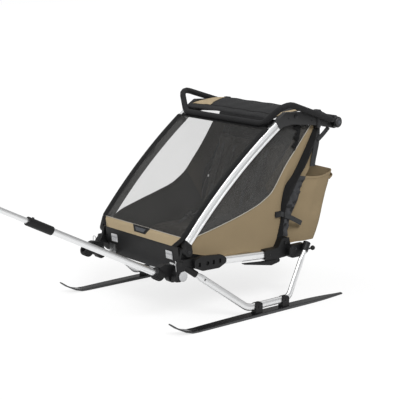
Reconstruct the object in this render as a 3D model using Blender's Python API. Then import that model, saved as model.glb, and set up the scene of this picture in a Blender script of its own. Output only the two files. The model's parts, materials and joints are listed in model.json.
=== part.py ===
"""Two-seat child trailer set up as a ski sled: a folding aluminium cabin frame with fabric walls, carried on
two skis by bent tubes, with one tow arm on the left.

Metres, +Z up. The nose points along -Y and the trailer's left side is +X. Route points are (y, z) pairs in
the trailer's side view, where y = 0 is the skis' first ground contact and z = 0 is the snow.
"""

import math

import bmesh
import bpy
from mathutils import Matrix, Vector

# Gaps
FIT_GAP = 0.0003
RUN_GAP = 0.0006
OVERCUT = 0.020
CASTING_EDGE = 0.006

# Skis
SKI_LENGTH = 1.200
SKI_TIP_REACH = 0.124
SKI_TIP_RISE = 0.062
SKI_WIDTH = 0.060
SKI_TIP_WIDTH = 0.024
SKI_TAIL_WIDTH = 0.020
SKI_WAIST = 0.016
SKI_END = 0.006
SKI_EDGE_DROP = 0.003
SKI_EDGE_INSET = 0.006
SKI_TIP_SHARE = 0.10
SKI_TAIL_SHARE = 0.22
SKI_TRACK = 0.970

# Side rails and corner joints
RAIL_X = 0.352
RAIL_WIDTH = 0.030
RAIL_HEIGHT = 0.042
RAIL_CORNER = 0.012
RAIL_FRONT = (0.120, 0.303)
RAIL_REAR = (0.690, 0.265)
CORNER_WALL = 0.006
FRONT_CORNER_BACK = 0.165
REAR_SLEEVE_START = 0.608
REAR_CORNER_BACK = 0.792
REAR_CORNER_TOP = 0.345
RAIL_BITE = 0.030
FRONT_CORNER_NOSE = (0.046, 0.300)
FRONT_CORNER_CREST = ((0.112, 0.338), (0.050, 0.338))
FRONT_ARM = ((-0.020, -0.018), (0.014, -0.022), (0.042, 0.040), (0.050, 0.075), (0.026, 0.075), (-0.020, 0.016))
REAR_CORNER_SHOULDER = 0.300
REAR_CORNER_CREST = (0.780, 0.728)
REAR_CORNER_NECK = 0.700
PEDAL_EAR_FOOT = (0.014, 0.010)
PEDAL_EAR_ROOT = (0.030, 0.012)

# Fold pivots
FOLD_PIVOT = (0.088, 0.372)
PIVOT_EYE = 0.024
PIVOT_PIN = 0.006
PIVOT_PIN_BITE = 0.006
PIVOT_LUG_BASE = ((0.026, -0.044), (-0.036, -0.044))
PIVOT_LUG_OFFSET = 0.0015
KNUCKLE_HALF_BASE = 0.020

# Pillars, which lean back and bow upwards
PILLAR_FOOT = (0.095, 0.420)
PILLAR_HEAD = (0.700, 0.970)
PILLAR_BOW = 0.028
PILLAR_WIDTH = 0.026
PILLAR_DEPTH = 0.052
PILLAR_CORNER = 0.008
PILLAR_FOOT_X = 0.349
PILLAR_HEAD_X = 0.368

# Roof brackets, handlebar hubs and handlebar
BRACKET_WIDTH = 0.026
BRACKET_CHIN = ((0.045, -0.004), (0.082, -0.013))
BRACKET_BROW = ((0.075, 0.052), (0.035, 0.054))
BRACKET_NECK = ((-0.140, -0.007), (-0.030, -0.028))
BRACKET_SHOULDER = ((-0.060, 0.047), (-0.090, 0.061))
BRACKET_HEAD_GROW = 0.0015
HUB = (1.100, 0.943)
HUB_BARREL = 0.036
HUB_BARREL_INNER_X = 0.300
HUB_PIN = 0.010
EYE_RADIUS = 0.030
EYE_WIDTH = 0.026
CAP_RADIUS = 0.024
CAP_STANDS = 0.008
CAP_POCKET = 0.009
CAP_TRAVEL = 0.004
BAR_TUBE = 0.011
BAR_FOAM = 0.0165
BAR_CORNER = (0.690, 1.082)
BAR_CORNER_X = 0.436
BAR_GRIP = (0.627, 0.967)
BAR_GRIP_X = 0.318
BAR_BEND = 0.060
BAR_START_SPLAY = 0.002
BAR_LEAD = (0.006, -0.080, 0.029)
BAR_FOAM_SHARE = 0.62

# Rear uprights
UPRIGHT_TUBE = 0.011
UPRIGHT_ROUTE = ((0.768, 0.335), (0.770, 0.450), (0.802, 0.556), (0.898, 0.676), (0.960, 0.765), (0.985, 0.880))
UPRIGHT_PIVOT = (0.985, 0.955)
UPRIGHT_EYE = 0.018
UPRIGHT_PIN = 0.005
PIN_BITE = 0.004

# Front bar, bumper and hitch sockets
CROSSBAR = (0.020, 0.250)
CROSSBAR_RADIUS = 0.0125
BUMPER_TOP = (0.062, 0.389)
BUMPER_FOOT = (0.078, 0.243)
BUMPER_HALF_WIDTH = 0.315
BUMPER_FOOT_HALF_WIDTH = 0.237
BUMPER_SHOULDER = 0.290
BUMPER_WALL = 0.008
BUMPER_SHOULDER_STEP = 0.015
BUMPER_WING = (0.312, 0.315, 0.335, 0.338)
REFLECTOR_X = 0.238
REFLECTOR_SIZE = (0.052, 0.044)
REFLECTOR_HEIGHT = 0.338
REFLECTOR_THICK = 0.004
TAB_X = 0.266
TAB_WIDTH = 0.052
TAB_WALL = 0.004
TAB_TOP = 0.300
TAB_HOLE = 0.005
TAB_DROP = 0.002
TAB_HOLE_RISE = 0.004
SOCKET_X = 0.312
SOCKET_WIDTH = 0.033
SOCKET_LOBE = 0.030
DRUM_RADIUS = 0.030
DRUM_LENGTH = 0.052
DRUM_EDGE = 0.004
DRUM_BACK = 0.012
SOCKET_INSET = 0.002
SOCKET_HOUSING = ((-0.020, 0.010), (0.020, 0.018), (0.012, 0.058), (-0.050, 0.072), (-0.085, 0.060),
                  (-0.075, 0.0))

# Tow arm, which rises forward from its socket
ARM_RISE = math.radians(27.1)
ARM_START = (-0.052, 0.268)
ARM_LENGTH = 1.500
ARM_RADIUS = 0.0165
ARM_FRONT_RADIUS = 0.0130
COUPLING_AT = 0.705
COUPLING_LENGTH = 0.145
COUPLING_RADIUS = 0.0215
COUPLING_OVERLAP = 0.060
ARM_BUTTON_RADIUS = 0.006
ARM_BUTTON_TRAVEL = 0.003
ARM_END_RADIUS = 0.021
ARM_END_LENGTH = 0.060
ARM_END_HOLE = 0.008
ARM_END_COLLAR = 0.030
ARM_END_EDGE = 0.004
ARM_END_TAPER = 0.006
ARM_END_EYE = 0.022
ARM_BUTTON_PLACE = 0.025
ARM_BUTTON_EDGE = 0.001

# Ski tubes
SKI_TUBE_RADIUS = 0.013
SKI_TUBE_START = (0.352, 0.060, 0.305)
SKI_TUBE_HEIGHT = 0.052
SKI_TUBE_FRONT_BEND = 0.385
SKI_TUBE_REAR_BEND = 0.672
SKI_TUBE_TOP = (0.4185, 0.868, 0.305)
SKI_TUBE_BEND = 0.070
SLEEVE_RADIUS = 0.0175
SLEEVE_START = 0.012
SLEEVE_END = 0.090
LUG_WIDTH = 0.036
LUG_LENGTH = 0.046
LUG_TOP = 0.072
LUG_CORNER = 0.012
LUG_PLACES = (0.450, 0.640)

# Hub pods, axle blocks and axle beam
POD_WIDTH = 0.020
POD_OUTLINE = ((0.108, 0.330), (0.150, 0.345), (0.290, 0.333), (0.318, 0.312), (0.318, 0.288), (0.270, 0.266),
               (0.160, 0.268), (0.108, 0.290))
POD_HOLE = (0.192, 0.303)
POD_HOLE_RADIUS = 0.011
POD_SLOTS = (0.140, 0.232, 0.275)
POD_SLOT_SIZE = (0.014, 0.022)
POD_RECESS = 0.008
BEAM = (0.822, 0.262)
BEAM_RADIUS = 0.016
BLOCK_WIDTH = 0.031
BLOCK_OUTLINE = ((0.755, 0.250), (0.775, 0.236), (0.870, 0.236), (0.888, 0.252), (0.888, 0.290), (0.866, 0.306),
                 (0.778, 0.306), (0.755, 0.292))
COLLAR_RADIUS = 0.0205
COLLAR_LENGTH = 0.044
COLLAR_LIP = 0.006
BLOCK_EDGE = 0.005
KNOB_RADIUS = 0.0135
KNOB_STEM = 0.005
KNOB_REACH = 0.058
KNOB_X = 0.386
KNOB_HEIGHT = 0.262
KNOB_SEAT = 0.030
BUTTON_RADIUS = 0.010
BUTTON_PLACE = (0.752, 0.318)
BUTTON_TRAVEL = 0.004
BUTTON_SEAT = 0.003
BUTTON_STANDS = 0.002

# Brake pedal
PEDAL_PIVOT = (0.712, 0.2265)
PEDAL_WIDTH = 0.024
PEDAL_TOE = (0.470, 0.246)
PEDAL_PIN = 0.005
PEDAL_EYE = 0.011
PEDAL_EYE_STEP = 0.003
PEDAL_TOE_THICK = 0.004
PEDAL_BELLY = (-0.050, -0.020)
PEDAL_BROW = (-0.110, 0.008)

# Seat
FLOOR_TOP = 0.285
FLOOR_THICK = 0.004
FLOOR_FRONT = 0.142
FLOOR_REAR = 0.742
SEAT_HALF_WIDTH = 0.270
BENCH_FRONT = 0.300
BENCH_DEPTH = 0.320
BENCH_HEIGHT = 0.085
BENCH_CROWN = 0.018
BACK_FOOT_Y = 0.676
BACK_LENGTH = 0.600
BACK_LEAN = math.radians(70.0)
BACK_THICK = 0.050
BACK_CROWN = 0.012
CUSHION_SIDE = 0.62
CUSHION_PULL = 0.03
CUSHION_PINCH = 0.05
CUSHION_CHANNEL = (0.10, 0.55)
CUSHION_UNDERSIDE = 0.985

# Fabric
FABRIC_THICK = 0.003
CANOPY_THICK = 0.004
CANOPY_ROUTE = ((0.652, 0.990), (0.745, 1.020), (0.860, 1.032), (0.955, 1.018))
CANOPY_DROP = 0.024
COVER_FOOT = (0.052, 0.394)
COVER_TOP = 0.900
COVER_LIFT = PILLAR_DEPTH / 2 + FABRIC_THICK / 2 + FIT_GAP
COVER_FOOT_HALF_WIDTH = 0.313
COVER_INSET = 0.002
BAG_HALF_WIDTH = 0.330
BAG_WALL = 0.005
BAG_CORNER = 0.045
BAG_BASE = 0.296
BAG_RIM = 0.672
BAG_BACK = (1.008, 1.132)
SIDE_FRONT_FOOT = ((0.135, 0.372), (0.180, 0.350))
SIDE_OVER_RAIL = ((0.316, 0.003), (0.600, 0.010))
SIDE_REAR_FOOT = ((0.690, 0.318), (0.722, 0.352))
SIDE_REAR_GAP = 0.028
SIDE_REAR_HEIGHTS = (0.362, 0.450, 0.560, 0.684, 0.775, 0.880, 0.926)
SIDE_ROOF = (0.800, 0.948)


def lerp(low, high, share):
    return low + (high - low) * share


def along(start, end, share):
    return tuple(lerp(a, b, share) for a, b in zip(start, end))


def shifted(point, offsets):
    """Points at side-view offsets from a point."""
    return [(point[0] + dy, point[1] + dz) for dy, dz in offsets]


def in_side_view(point, x):
    return Vector((x, point[0], point[1]))


def flat_direction(angle):
    """Unit vector in the side view, at an angle above +Y."""
    return Vector((0.0, math.cos(angle), math.sin(angle)))


FINISHES = {
    "silver": ((0.80, 0.81, 0.82), 0.32, 1.0),
    "black_plastic": ((0.030, 0.031, 0.033), 0.50, 0.0),
    "black_metal": ((0.035, 0.036, 0.038), 0.40, 0.6),
    "foam": ((0.028, 0.029, 0.030), 0.75, 0.0),
    "ski_base": ((0.050, 0.051, 0.053), 0.28, 0.0),
    "tan_fabric": ((0.27, 0.21, 0.13), 0.85, 0.0),
    "black_fabric": ((0.040, 0.040, 0.042), 0.85, 0.0),
    "mesh_fabric": ((0.055, 0.055, 0.058), 0.80, 0.0),
    "seat_fabric": ((0.090, 0.075, 0.055), 0.85, 0.0),
    "reflector": ((0.82, 0.83, 0.85), 0.15, 0.0),
}


def clear_scene():
    for obj in list(bpy.data.objects):
        bpy.data.objects.remove(obj)


def material(name):
    """The named finish as a Principled material."""
    found = bpy.data.materials.get(name)
    if found:
        return found
    colour, roughness, metallic = FINISHES[name]
    made = bpy.data.materials.new(name)
    made.use_nodes = True
    shader = made.node_tree.nodes["Principled BSDF"]
    shader.inputs["Base Color"].default_value = (*colour, 1.0)
    shader.inputs["Roughness"].default_value = roughness
    shader.inputs["Metallic"].default_value = metallic
    made.diffuse_color = (*colour, 1.0)
    return made


def make_body_empties():
    for body, (carrier, axis) in BODY_AXES.items():
        empty = bpy.data.objects.new(f"{body}_axis", None)
        empty.empty_display_size = 0.05
        bpy.context.scene.collection.objects.link(empty)
        if carrier:
            empty.parent = BODY_EMPTIES[carrier]
            empty.location = axis - BODY_AXES[carrier][1]
        BODY_EMPTIES[body] = empty


def node(name, bm, finish, body="base", origin=None, smooth=40.0):
    """Turns a bmesh in trailer coordinates into a named object on its body's axis."""
    axis = BODY_AXES[body][1]
    origin = Vector(origin) if origin is not None else axis
    bmesh.ops.translate(bm, verts=bm.verts, vec=-origin)
    mesh = bpy.data.meshes.new(name)
    bm.to_mesh(mesh)
    bm.free()
    mesh.shade_smooth()
    mesh.set_sharp_from_angle(angle=math.radians(smooth))
    mesh.materials.append(material(finish))
    obj = bpy.data.objects.new(name, mesh)
    bpy.context.scene.collection.objects.link(obj)
    obj.parent = BODY_EMPTIES[body]
    obj.location = origin - axis
    return obj


def pair(name, bm, finish, body="base", origin=None, smooth=40.0):
    """A left piece and its mirrored right copy."""
    left = node(f"{name}_left", bm, finish, body, origin, smooth)
    right = bpy.data.objects.new(f"{name}_right", left.data)
    bpy.context.scene.collection.objects.link(right)
    right.parent = left.parent
    right.location = (-left.location.x, left.location.y, left.location.z)
    right.scale = (-1, 1, 1)
    return left, right


def circle(radius, sides):
    return [(radius * math.cos(2 * math.pi * k / sides), radius * math.sin(2 * math.pi * k / sides))
            for k in range(sides)]


def rounded_rectangle(width, depth, corner, steps=3):
    """Section of a flat tube, with its corners as arcs."""
    points = []
    for quarter in range(4):
        centre_a = (width / 2 - corner) * (1 if quarter in (0, 3) else -1)
        centre_b = (depth / 2 - corner) * (1 if quarter in (0, 1) else -1)
        for step in range(steps + 1):
            angle = math.pi / 2 * (quarter + step / steps)
            points.append((centre_a + corner * math.cos(angle), centre_b + corner * math.sin(angle)))
    return points


def filleted(points, radius, steps=5):
    """A route with each inner corner replaced by an arc."""
    points = [Vector(p) for p in points]
    route = [points[0]]
    for before, corner, after in zip(points, points[1:], points[2:]):
        inward = (before - corner).normalized()
        outward = (after - corner).normalized()
        half = inward.angle(outward) / 2
        if half > math.radians(88):
            route.append(corner)
            continue
        reach = min(radius / math.tan(half), (before - corner).length * 0.48, (after - corner).length * 0.48)
        bend = reach * math.tan(half)
        centre = corner + (inward + outward).normalized() * (bend / math.sin(half))
        first = corner + inward * reach - centre
        last = corner + outward * reach - centre
        turn = first.rotation_difference(last)
        for step in range(steps + 1):
            part = Matrix.Identity(3).to_quaternion().slerp(turn, step / steps)
            route.append(centre + part @ first)
    route.append(points[-1])
    return route


def smooth_route(points, steps=4):
    """A route through every point, eased between them."""
    points = [Vector(p) for p in points]
    padded = [points[0] * 2 - points[1]] + points + [points[-1] * 2 - points[-2]]
    route = []
    for a, b, c, d in zip(padded, padded[1:], padded[2:], padded[3:]):
        for step in range(steps):
            t = step / steps
            route.append(0.5 * ((2 * b) + (c - a) * t + (2 * a - 5 * b + 4 * c - d) * t ** 2
                                + (3 * b - a - 3 * c + d) * t ** 3))
    route.append(points[-1])
    return route


def swept(route, section):
    """A closed solid whose section follows the route, its first axis starting as near +X as it can."""
    route = [Vector(p) for p in route]
    steps = [(b - a).normalized() for a, b in zip(route, route[1:])]
    tangents = [steps[0]] + [(a + b).normalized() for a, b in zip(steps, steps[1:])] + [steps[-1]]
    start = Vector((1, 0, 0)) if abs(tangents[0].x) < 0.9 else Vector((0, 1, 0))
    side = (start - tangents[0] * start.dot(tangents[0])).normalized()
    bm = bmesh.new()
    rings = []
    for index, point in enumerate(route):
        if index:
            side = tangents[index - 1].rotation_difference(tangents[index]) @ side
        up = tangents[index].cross(side)
        rings.append([bm.verts.new(point + side * a + up * b) for a, b in section])
    count = len(section)
    for ring, after in zip(rings, rings[1:]):
        for k in range(count):
            bm.faces.new((ring[k], ring[(k + 1) % count], after[(k + 1) % count], after[k]))
    bm.faces.new(rings[0])
    bm.faces.new(rings[-1])
    bmesh.ops.recalc_face_normals(bm, faces=bm.faces)
    return bm


def tube(route, radius, sides=12):
    return swept(route, circle(radius, sides))


def prism(outline, low_x, high_x, corner=0.0, segments=2):
    """A side-view outline given a thickness across the trailer, its upright edges rounded."""
    bm = bmesh.new()
    low = [bm.verts.new((low_x, y, z)) for y, z in outline]
    high = [bm.verts.new((high_x, y, z)) for y, z in outline]
    bm.faces.new(low)
    bm.faces.new(high)
    sides = []
    for k in range(len(low)):
        after = (k + 1) % len(low)
        sides.append(bm.faces.new((low[k], low[after], high[after], high[k])))
    bmesh.ops.recalc_face_normals(bm, faces=bm.faces)
    if corner:
        edges = [e for e in bm.edges if abs(e.verts[0].co.x - e.verts[1].co.x) > abs(high_x - low_x) / 2]
        bmesh.ops.bevel(bm, geom=edges, offset=corner, segments=segments, affect="EDGES", profile=0.5,
                        clamp_overlap=True)
    return bm


def disc(centre, radius, low_x, high_x, sides=20):
    """A short cylinder across the trailer."""
    points = circle(radius, sides)
    return prism([(centre[0] + a, centre[1] + b) for a, b in points], low_x, high_x)


def turned(profile, base, axis, steps=16):
    """A solid of revolution, from a profile of (radius, distance along the axis) points."""
    bm = bmesh.new()
    verts = [bm.verts.new((radius, 0, height)) for radius, height in profile]
    edges = [bm.edges.new(ends) for ends in zip(verts, verts[1:])]
    bmesh.ops.spin(bm, geom=verts + edges, cent=(0, 0, 0), axis=(0, 0, 1), dvec=(0, 0, 0),
                   angle=2 * math.pi, steps=steps, use_merge=True)
    bmesh.ops.remove_doubles(bm, verts=bm.verts, dist=1e-5)
    bmesh.ops.recalc_face_normals(bm, faces=bm.faces)
    turn = Vector((0, 0, 1)).rotation_difference(Vector(axis)).to_matrix().to_4x4()
    bmesh.ops.transform(bm, matrix=Matrix.Translation(Vector(base)) @ turn, verts=bm.verts)
    return bm


def cylinder(start, end, radius, sides=16):
    return tube([Vector(start), Vector(end)], radius, sides)


def block(low, high, corner=0.0, segments=2):
    """A box between two corners, with all its edges rounded."""
    bm = bmesh.new()
    bmesh.ops.create_cube(bm, size=1.0)
    low, high = Vector(low), Vector(high)
    size = high - low
    bmesh.ops.scale(bm, vec=size, verts=bm.verts)
    bmesh.ops.translate(bm, vec=(low + high) / 2, verts=bm.verts)
    if corner:
        bmesh.ops.bevel(bm, geom=list(bm.edges), offset=corner, segments=segments, affect="EDGES", profile=0.5)
    return bm


def hull(points):
    bm = bmesh.new()
    for point in points:
        bm.verts.new(point)
    made = bmesh.ops.convex_hull(bm, input=list(bm.verts))
    loose = [g for g in made["geom_interior"] + made["geom_unused"] if isinstance(g, bmesh.types.BMVert)]
    bmesh.ops.delete(bm, geom=list(set(loose)), context="VERTS")
    bmesh.ops.recalc_face_normals(bm, faces=bm.faces)
    return bm


def combined(bm, other, operation):
    """The exact union or difference of two closed meshes."""
    objects = []
    for source in (bm, other):
        mesh = bpy.data.meshes.new("working")
        source.to_mesh(mesh)
        source.free()
        objects.append(bpy.data.objects.new("working", mesh))
        bpy.context.scene.collection.objects.link(objects[-1])
    modifier = objects[0].modifiers.new("join", "BOOLEAN")
    modifier.operation = operation
    modifier.solver = "EXACT"
    modifier.object = objects[1]
    graph = bpy.context.evaluated_depsgraph_get()
    result = bmesh.new()
    result.from_mesh(objects[0].evaluated_get(graph).to_mesh())
    objects[0].evaluated_get(graph).to_mesh_clear()
    for obj in objects:
        mesh = obj.data
        bpy.data.objects.remove(obj)
        bpy.data.meshes.remove(mesh)
    bmesh.ops.remove_doubles(result, verts=result.verts, dist=2e-6)
    bmesh.ops.dissolve_degenerate(result, edges=result.edges, dist=2e-6)
    return result


def joined(bm, *others):
    for other in others:
        bm = combined(bm, other, "UNION")
    return bm


def cut(bm, *others):
    for other in others:
        bm = combined(bm, other, "DIFFERENCE")
    return bm


def sheet(rows, thickness):
    """A closed skin: rows of points spread its middle surface, and thickness is split to both sides."""
    bm = bmesh.new()
    grid = [[bm.verts.new(p) for p in row] for row in rows]
    for row, after in zip(grid, grid[1:]):
        for a, b, c, d in zip(row, row[1:], after[1:], after):
            bm.faces.new((a, b, c, d))
    bm.normal_update()
    normals = {v: v.normal.copy() for v in bm.verts}
    lower = {v: bm.verts.new(v.co - normals[v] * thickness / 2) for v in list(normals)}
    for v, normal in normals.items():
        v.co += normal * thickness / 2
    for row, after in zip(grid, grid[1:]):
        for a, b, c, d in zip(row, row[1:], after[1:], after):
            bm.faces.new((lower[d], lower[c], lower[b], lower[a]))
    border = grid[0] + [row[-1] for row in grid[1:]] + grid[-1][-2::-1] + [row[0] for row in grid[-2:0:-1]]
    for k, vert in enumerate(border):
        after = border[(k + 1) % len(border)]
        bm.faces.new((vert, lower[vert], lower[after], after))
    bmesh.ops.recalc_face_normals(bm, faces=bm.faces)
    return bm


def rail_height(y):
    """Height of the rail's centre line at y."""
    share = (y - RAIL_FRONT[0]) / (RAIL_REAR[0] - RAIL_FRONT[0])
    return lerp(RAIL_FRONT[1], RAIL_REAR[1], share)


def pillar_point(share, lift=0.0):
    """(y, z) on the pillar's bowed centre line, or lifted off it towards its front face."""
    chord = Vector(PILLAR_HEAD) - Vector(PILLAR_FOOT)
    normal = Vector((-chord.y, chord.x)).normalized()
    point = Vector(PILLAR_FOOT) + chord * share + normal * (PILLAR_BOW * 4 * share * (1 - share))
    slope = chord + normal * (PILLAR_BOW * 4 * (1 - 2 * share))
    face = Vector((-slope.y, slope.x)).normalized()
    return point + face * lift


def pillar_direction(share):
    a = pillar_point(share - 0.001)
    b = pillar_point(share + 0.001)
    return (b - a).normalized()


def pillar_x(share):
    return lerp(PILLAR_FOOT_X, PILLAR_HEAD_X, share)


def pillar_route(steps=10):
    return [Vector((pillar_x(k / steps), *pillar_point(k / steps))) for k in range(steps + 1)]


def pillar_face(index, gap, grow):
    """Four corners just off a pillar's end face: index 0 is its foot and -1 its head."""
    route = pillar_route()
    tangent = (route[1] - route[0] if index == 0 else route[-1] - route[-2]).normalized()
    side = (Vector((1, 0, 0)) - tangent * tangent.x).normalized()
    up = tangent.cross(side)
    middle = route[index] + tangent * (-gap if index == 0 else gap)
    half_side, half_up = PILLAR_WIDTH / 2, PILLAR_DEPTH / 2 + grow
    return [middle + side * a * half_side + up * b * half_up for a, b in ((-1, -1), (1, -1), (1, 1), (-1, 1))]


def share_at_height(z, lift):
    """How far up the pillar the line at this lift reaches height z, from 0 to 1."""
    low, high = 0.0, 1.0
    for _ in range(24):
        middle = (low + high) / 2
        if pillar_point(middle, lift).y < z:
            low = middle
        else:
            high = middle
    return low


def wall_x(z, gap):
    """Where a fabric wall lies: just inside the pillars, which flare outwards with height."""
    return pillar_x(share_at_height(z, -PILLAR_DEPTH / 4)) - PILLAR_WIDTH / 2 - gap


def ski_tube_direction():
    end = Vector((SKI_TRACK / 2, SKI_TUBE_FRONT_BEND, SKI_TUBE_HEIGHT))
    return (end - Vector(SKI_TUBE_START)).normalized()


def ski_tube_at(distance):
    return Vector(SKI_TUBE_START) + ski_tube_direction() * distance


def sleeve_cutter(reach=0.30):
    """The socket that the ski tube's sleeve needs, cleared from whatever surrounds it."""
    start = ski_tube_at(SLEEVE_START - FIT_GAP)
    return cylinder(start, start + ski_tube_direction() * reach, SLEEVE_RADIUS + FIT_GAP, 20)


def corner_inner_x():
    return RAIL_X - RAIL_WIDTH / 2 - CORNER_WALL


def corner_outer_x():
    return RAIL_X + RAIL_WIDTH / 2 + CORNER_WALL


def upright_x():
    """The uprights stand just inside the rear corners."""
    return corner_inner_x() - UPRIGHT_TUBE - FIT_GAP


def upright_route(steps=3):
    return smooth_route([in_side_view(p, upright_x()) for p in UPRIGHT_ROUTE + (UPRIGHT_PIVOT,)], steps)


def panel_back(z):
    """Where the rear panel's back surface lies at height z."""
    back = 0.0
    for low, high in zip(upright_route(2), upright_route(2)[1:]):
        slope = (high.y - low.y) / (high.z - low.z)
        if low.z - FIT_GAP <= z <= high.z + FIT_GAP:
            back = max(back, low.y + slope * (z - low.z) + FABRIC_THICK / 2 * math.hypot(1, slope))
    return back


def rail_section(clear=0.0):
    return rounded_rectangle(RAIL_WIDTH + 2 * clear, RAIL_HEIGHT + 2 * clear, RAIL_CORNER + clear)


def rail_route(start_y, end_y):
    return [Vector((RAIL_X, y, rail_height(y))) for y in (start_y, end_y)]


# Axes that pieces turn about, each with the body that carries it
BODY_AXES = {
    "base": (None, Vector((0, 0, 0))),
    "upper_frame": ("base", in_side_view(FOLD_PIVOT, 0)),
    "rear_frame": ("upper_frame", in_side_view(UPRIGHT_PIVOT, 0)),
    "handlebar": ("upper_frame", in_side_view(HUB, 0)),
    "front_cover": ("upper_frame", in_side_view(pillar_point(COVER_TOP, COVER_LIFT), 0)),
    "hitch": ("base", in_side_view(CROSSBAR, 0)),
}
BODY_EMPTIES = {}


def make_rails():
    start = FRONT_CORNER_BACK - RAIL_BITE
    end = REAR_SLEEVE_START + RAIL_BITE
    pair("side_rail", swept(rail_route(start, end), rail_section()), "silver")


def lug_split_x():
    """The plane between a corner's pivot lug, inside, and the knuckle's lug, outside."""
    return PILLAR_FOOT_X - PIVOT_LUG_OFFSET


def make_front_corners():
    low, high = corner_inner_x(), corner_outer_x()
    rail_z = rail_height(FRONT_CORNER_BACK)
    outline = (FRONT_CORNER_NOSE, (FRONT_CORNER_BACK, rail_z - RAIL_HEIGHT / 2 - CORNER_WALL),
               (FRONT_CORNER_BACK, rail_z + RAIL_HEIGHT / 2 + CORNER_WALL), *FRONT_CORNER_CREST)
    body = prism(outline, low, high, CASTING_EDGE)
    arm = prism(shifted(CROSSBAR, FRONT_ARM), low, high, CASTING_EDGE)
    lug_high = lug_split_x() - RUN_GAP / 2
    lug = hull([(x, FOLD_PIVOT[0] + a, FOLD_PIVOT[1] + b) for x in (low, lug_high)
                for a, b in circle(PIVOT_EYE, 20) + list(PIVOT_LUG_BASE)])
    corner = joined(body, arm, lug)
    rail_hole = swept(rail_route(FRONT_CORNER_BACK - RAIL_BITE - FIT_GAP, FRONT_CORNER_BACK + 2 * OVERCUT),
                      rail_section(FIT_GAP))
    pin_hole = disc(FOLD_PIVOT, PIVOT_PIN + RUN_GAP, low - OVERCUT, lug_high + OVERCUT, 16)
    bar_hole = disc(CROSSBAR, CROSSBAR_RADIUS + FIT_GAP, low - OVERCUT, high - CORNER_WALL, 16)
    pair("front_corner", cut(corner, rail_hole, pin_hole, bar_hole, sleeve_cutter()), "black_plastic")


def make_knuckles():
    """Each pillar's foot casting, with the fold's pivot pin."""
    eye_low = lug_split_x() + RUN_GAP / 2
    eye_high = corner_outer_x()
    top = pillar_face(0, FIT_GAP, 0.0)
    base = shifted(FOLD_PIVOT, [(dy, PIVOT_EYE + RUN_GAP) for dy in (-KNUCKLE_HALF_BASE, KNUCKLE_HALF_BASE)])
    half = PILLAR_WIDTH / 2
    head = hull(top + [(x, *p) for x in (PILLAR_FOOT_X - half, PILLAR_FOOT_X + half) for p in base])
    eye = hull([(x, FOLD_PIVOT[0] + a, FOLD_PIVOT[1] + b) for x in (eye_low, eye_high)
                for a, b in circle(PIVOT_EYE, 20)] + [p for p in top if p.x > eye_low]
               + [(eye_low, p.y, p.z) for p in top if p.x > eye_low])
    pin = disc(FOLD_PIVOT, PIVOT_PIN, corner_inner_x(), eye_low + PIVOT_PIN_BITE, 16)
    pair("pillar_knuckle", joined(head, eye, pin), "black_plastic", "upper_frame")


def make_pillars():
    section = rounded_rectangle(PILLAR_WIDTH, PILLAR_DEPTH, PILLAR_CORNER, 2)
    pair("pillar", swept(pillar_route(), section), "silver", "upper_frame")


def bracket_x():
    return PILLAR_HEAD_X - BRACKET_WIDTH / 2, PILLAR_HEAD_X + BRACKET_WIDTH / 2


def bracket_outer_hub_x():
    """Outer face of the bracket, against which the handlebar's eye turns."""
    return bracket_x()[1]


def make_roof_brackets():
    """From pillar head to handlebar hub, one casting a side, with pins for the hub and the upright."""
    low, high = bracket_x()
    chin = shifted(PILLAR_HEAD, BRACKET_CHIN)
    brow = shifted(PILLAR_HEAD, BRACKET_BROW)
    elbow = [(x, *point) for x in (low, high) for point in chin + brow]
    head = hull(pillar_face(-1, FIT_GAP, BRACKET_HEAD_GROW) + elbow)
    outline = chin + shifted(HUB, BRACKET_NECK) + shifted(HUB, ((0.0, -HUB_BARREL), (0.0, HUB_BARREL)))
    outline += shifted(HUB, BRACKET_SHOULDER) + brow
    plate = joined(prism(outline, low, high), head)
    barrel = disc(HUB, HUB_BARREL, HUB_BARREL_INNER_X, high, 24)
    hub_pin = disc(HUB, HUB_PIN, high - PIN_BITE, high + EYE_WIDTH - CAP_POCKET - RUN_GAP, 16)
    upright_pin = disc(UPRIGHT_PIVOT, UPRIGHT_PIN, upright_x(), low + PIN_BITE, 12)
    pair("roof_bracket", joined(plate, barrel, hub_pin, upright_pin), "black_plastic", "upper_frame")


def handlebar_route():
    x = bracket_outer_hub_x() + RUN_GAP + EYE_WIDTH / 2
    start = Vector((x + BAR_START_SPLAY, *HUB))
    lead = Vector((x, *HUB)) + Vector(BAR_LEAD)
    corner = in_side_view(BAR_CORNER, BAR_CORNER_X)
    grip = in_side_view(BAR_GRIP, BAR_GRIP_X)
    left = [start, lead, corner, grip]
    right = [Vector((-p.x, p.y, p.z)) for p in reversed(left)]
    return filleted(left + right, BAR_BEND, 4)


def make_handlebar():
    route = handlebar_route()
    bar = tube(route, BAR_TUBE, 10)
    low = bracket_outer_hub_x() + RUN_GAP
    high = low + EYE_WIDTH
    for side in (1, -1):
        bar = joined(bar, disc(HUB, EYE_RADIUS, side * low, side * high, 24))
        bar = cut(bar, disc(HUB, HUB_PIN + RUN_GAP, side * (low - OVERCUT), side * (high + OVERCUT), 16),
                  disc(HUB, CAP_RADIUS + FIT_GAP, side * (high - CAP_POCKET), side * (high + OVERCUT), 24))
    node("handlebar", bar, "black_metal", "handlebar")
    first = route[0] + (route[1] - route[0]) * BAR_FOAM_SHARE
    last = Vector((-first.x, first.y, first.z))
    covered = [first] + route[1:-1] + [last]
    overlong = [first + (first - route[1]).normalized() * OVERCUT] + route[1:-1]
    overlong.append(Vector((-overlong[0].x, overlong[0].y, overlong[0].z)))
    foam = cut(tube(covered, BAR_FOAM, 12), tube(overlong, BAR_TUBE + FIT_GAP, 10))
    node("handlebar_grip", foam, "foam", "handlebar")


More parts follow.
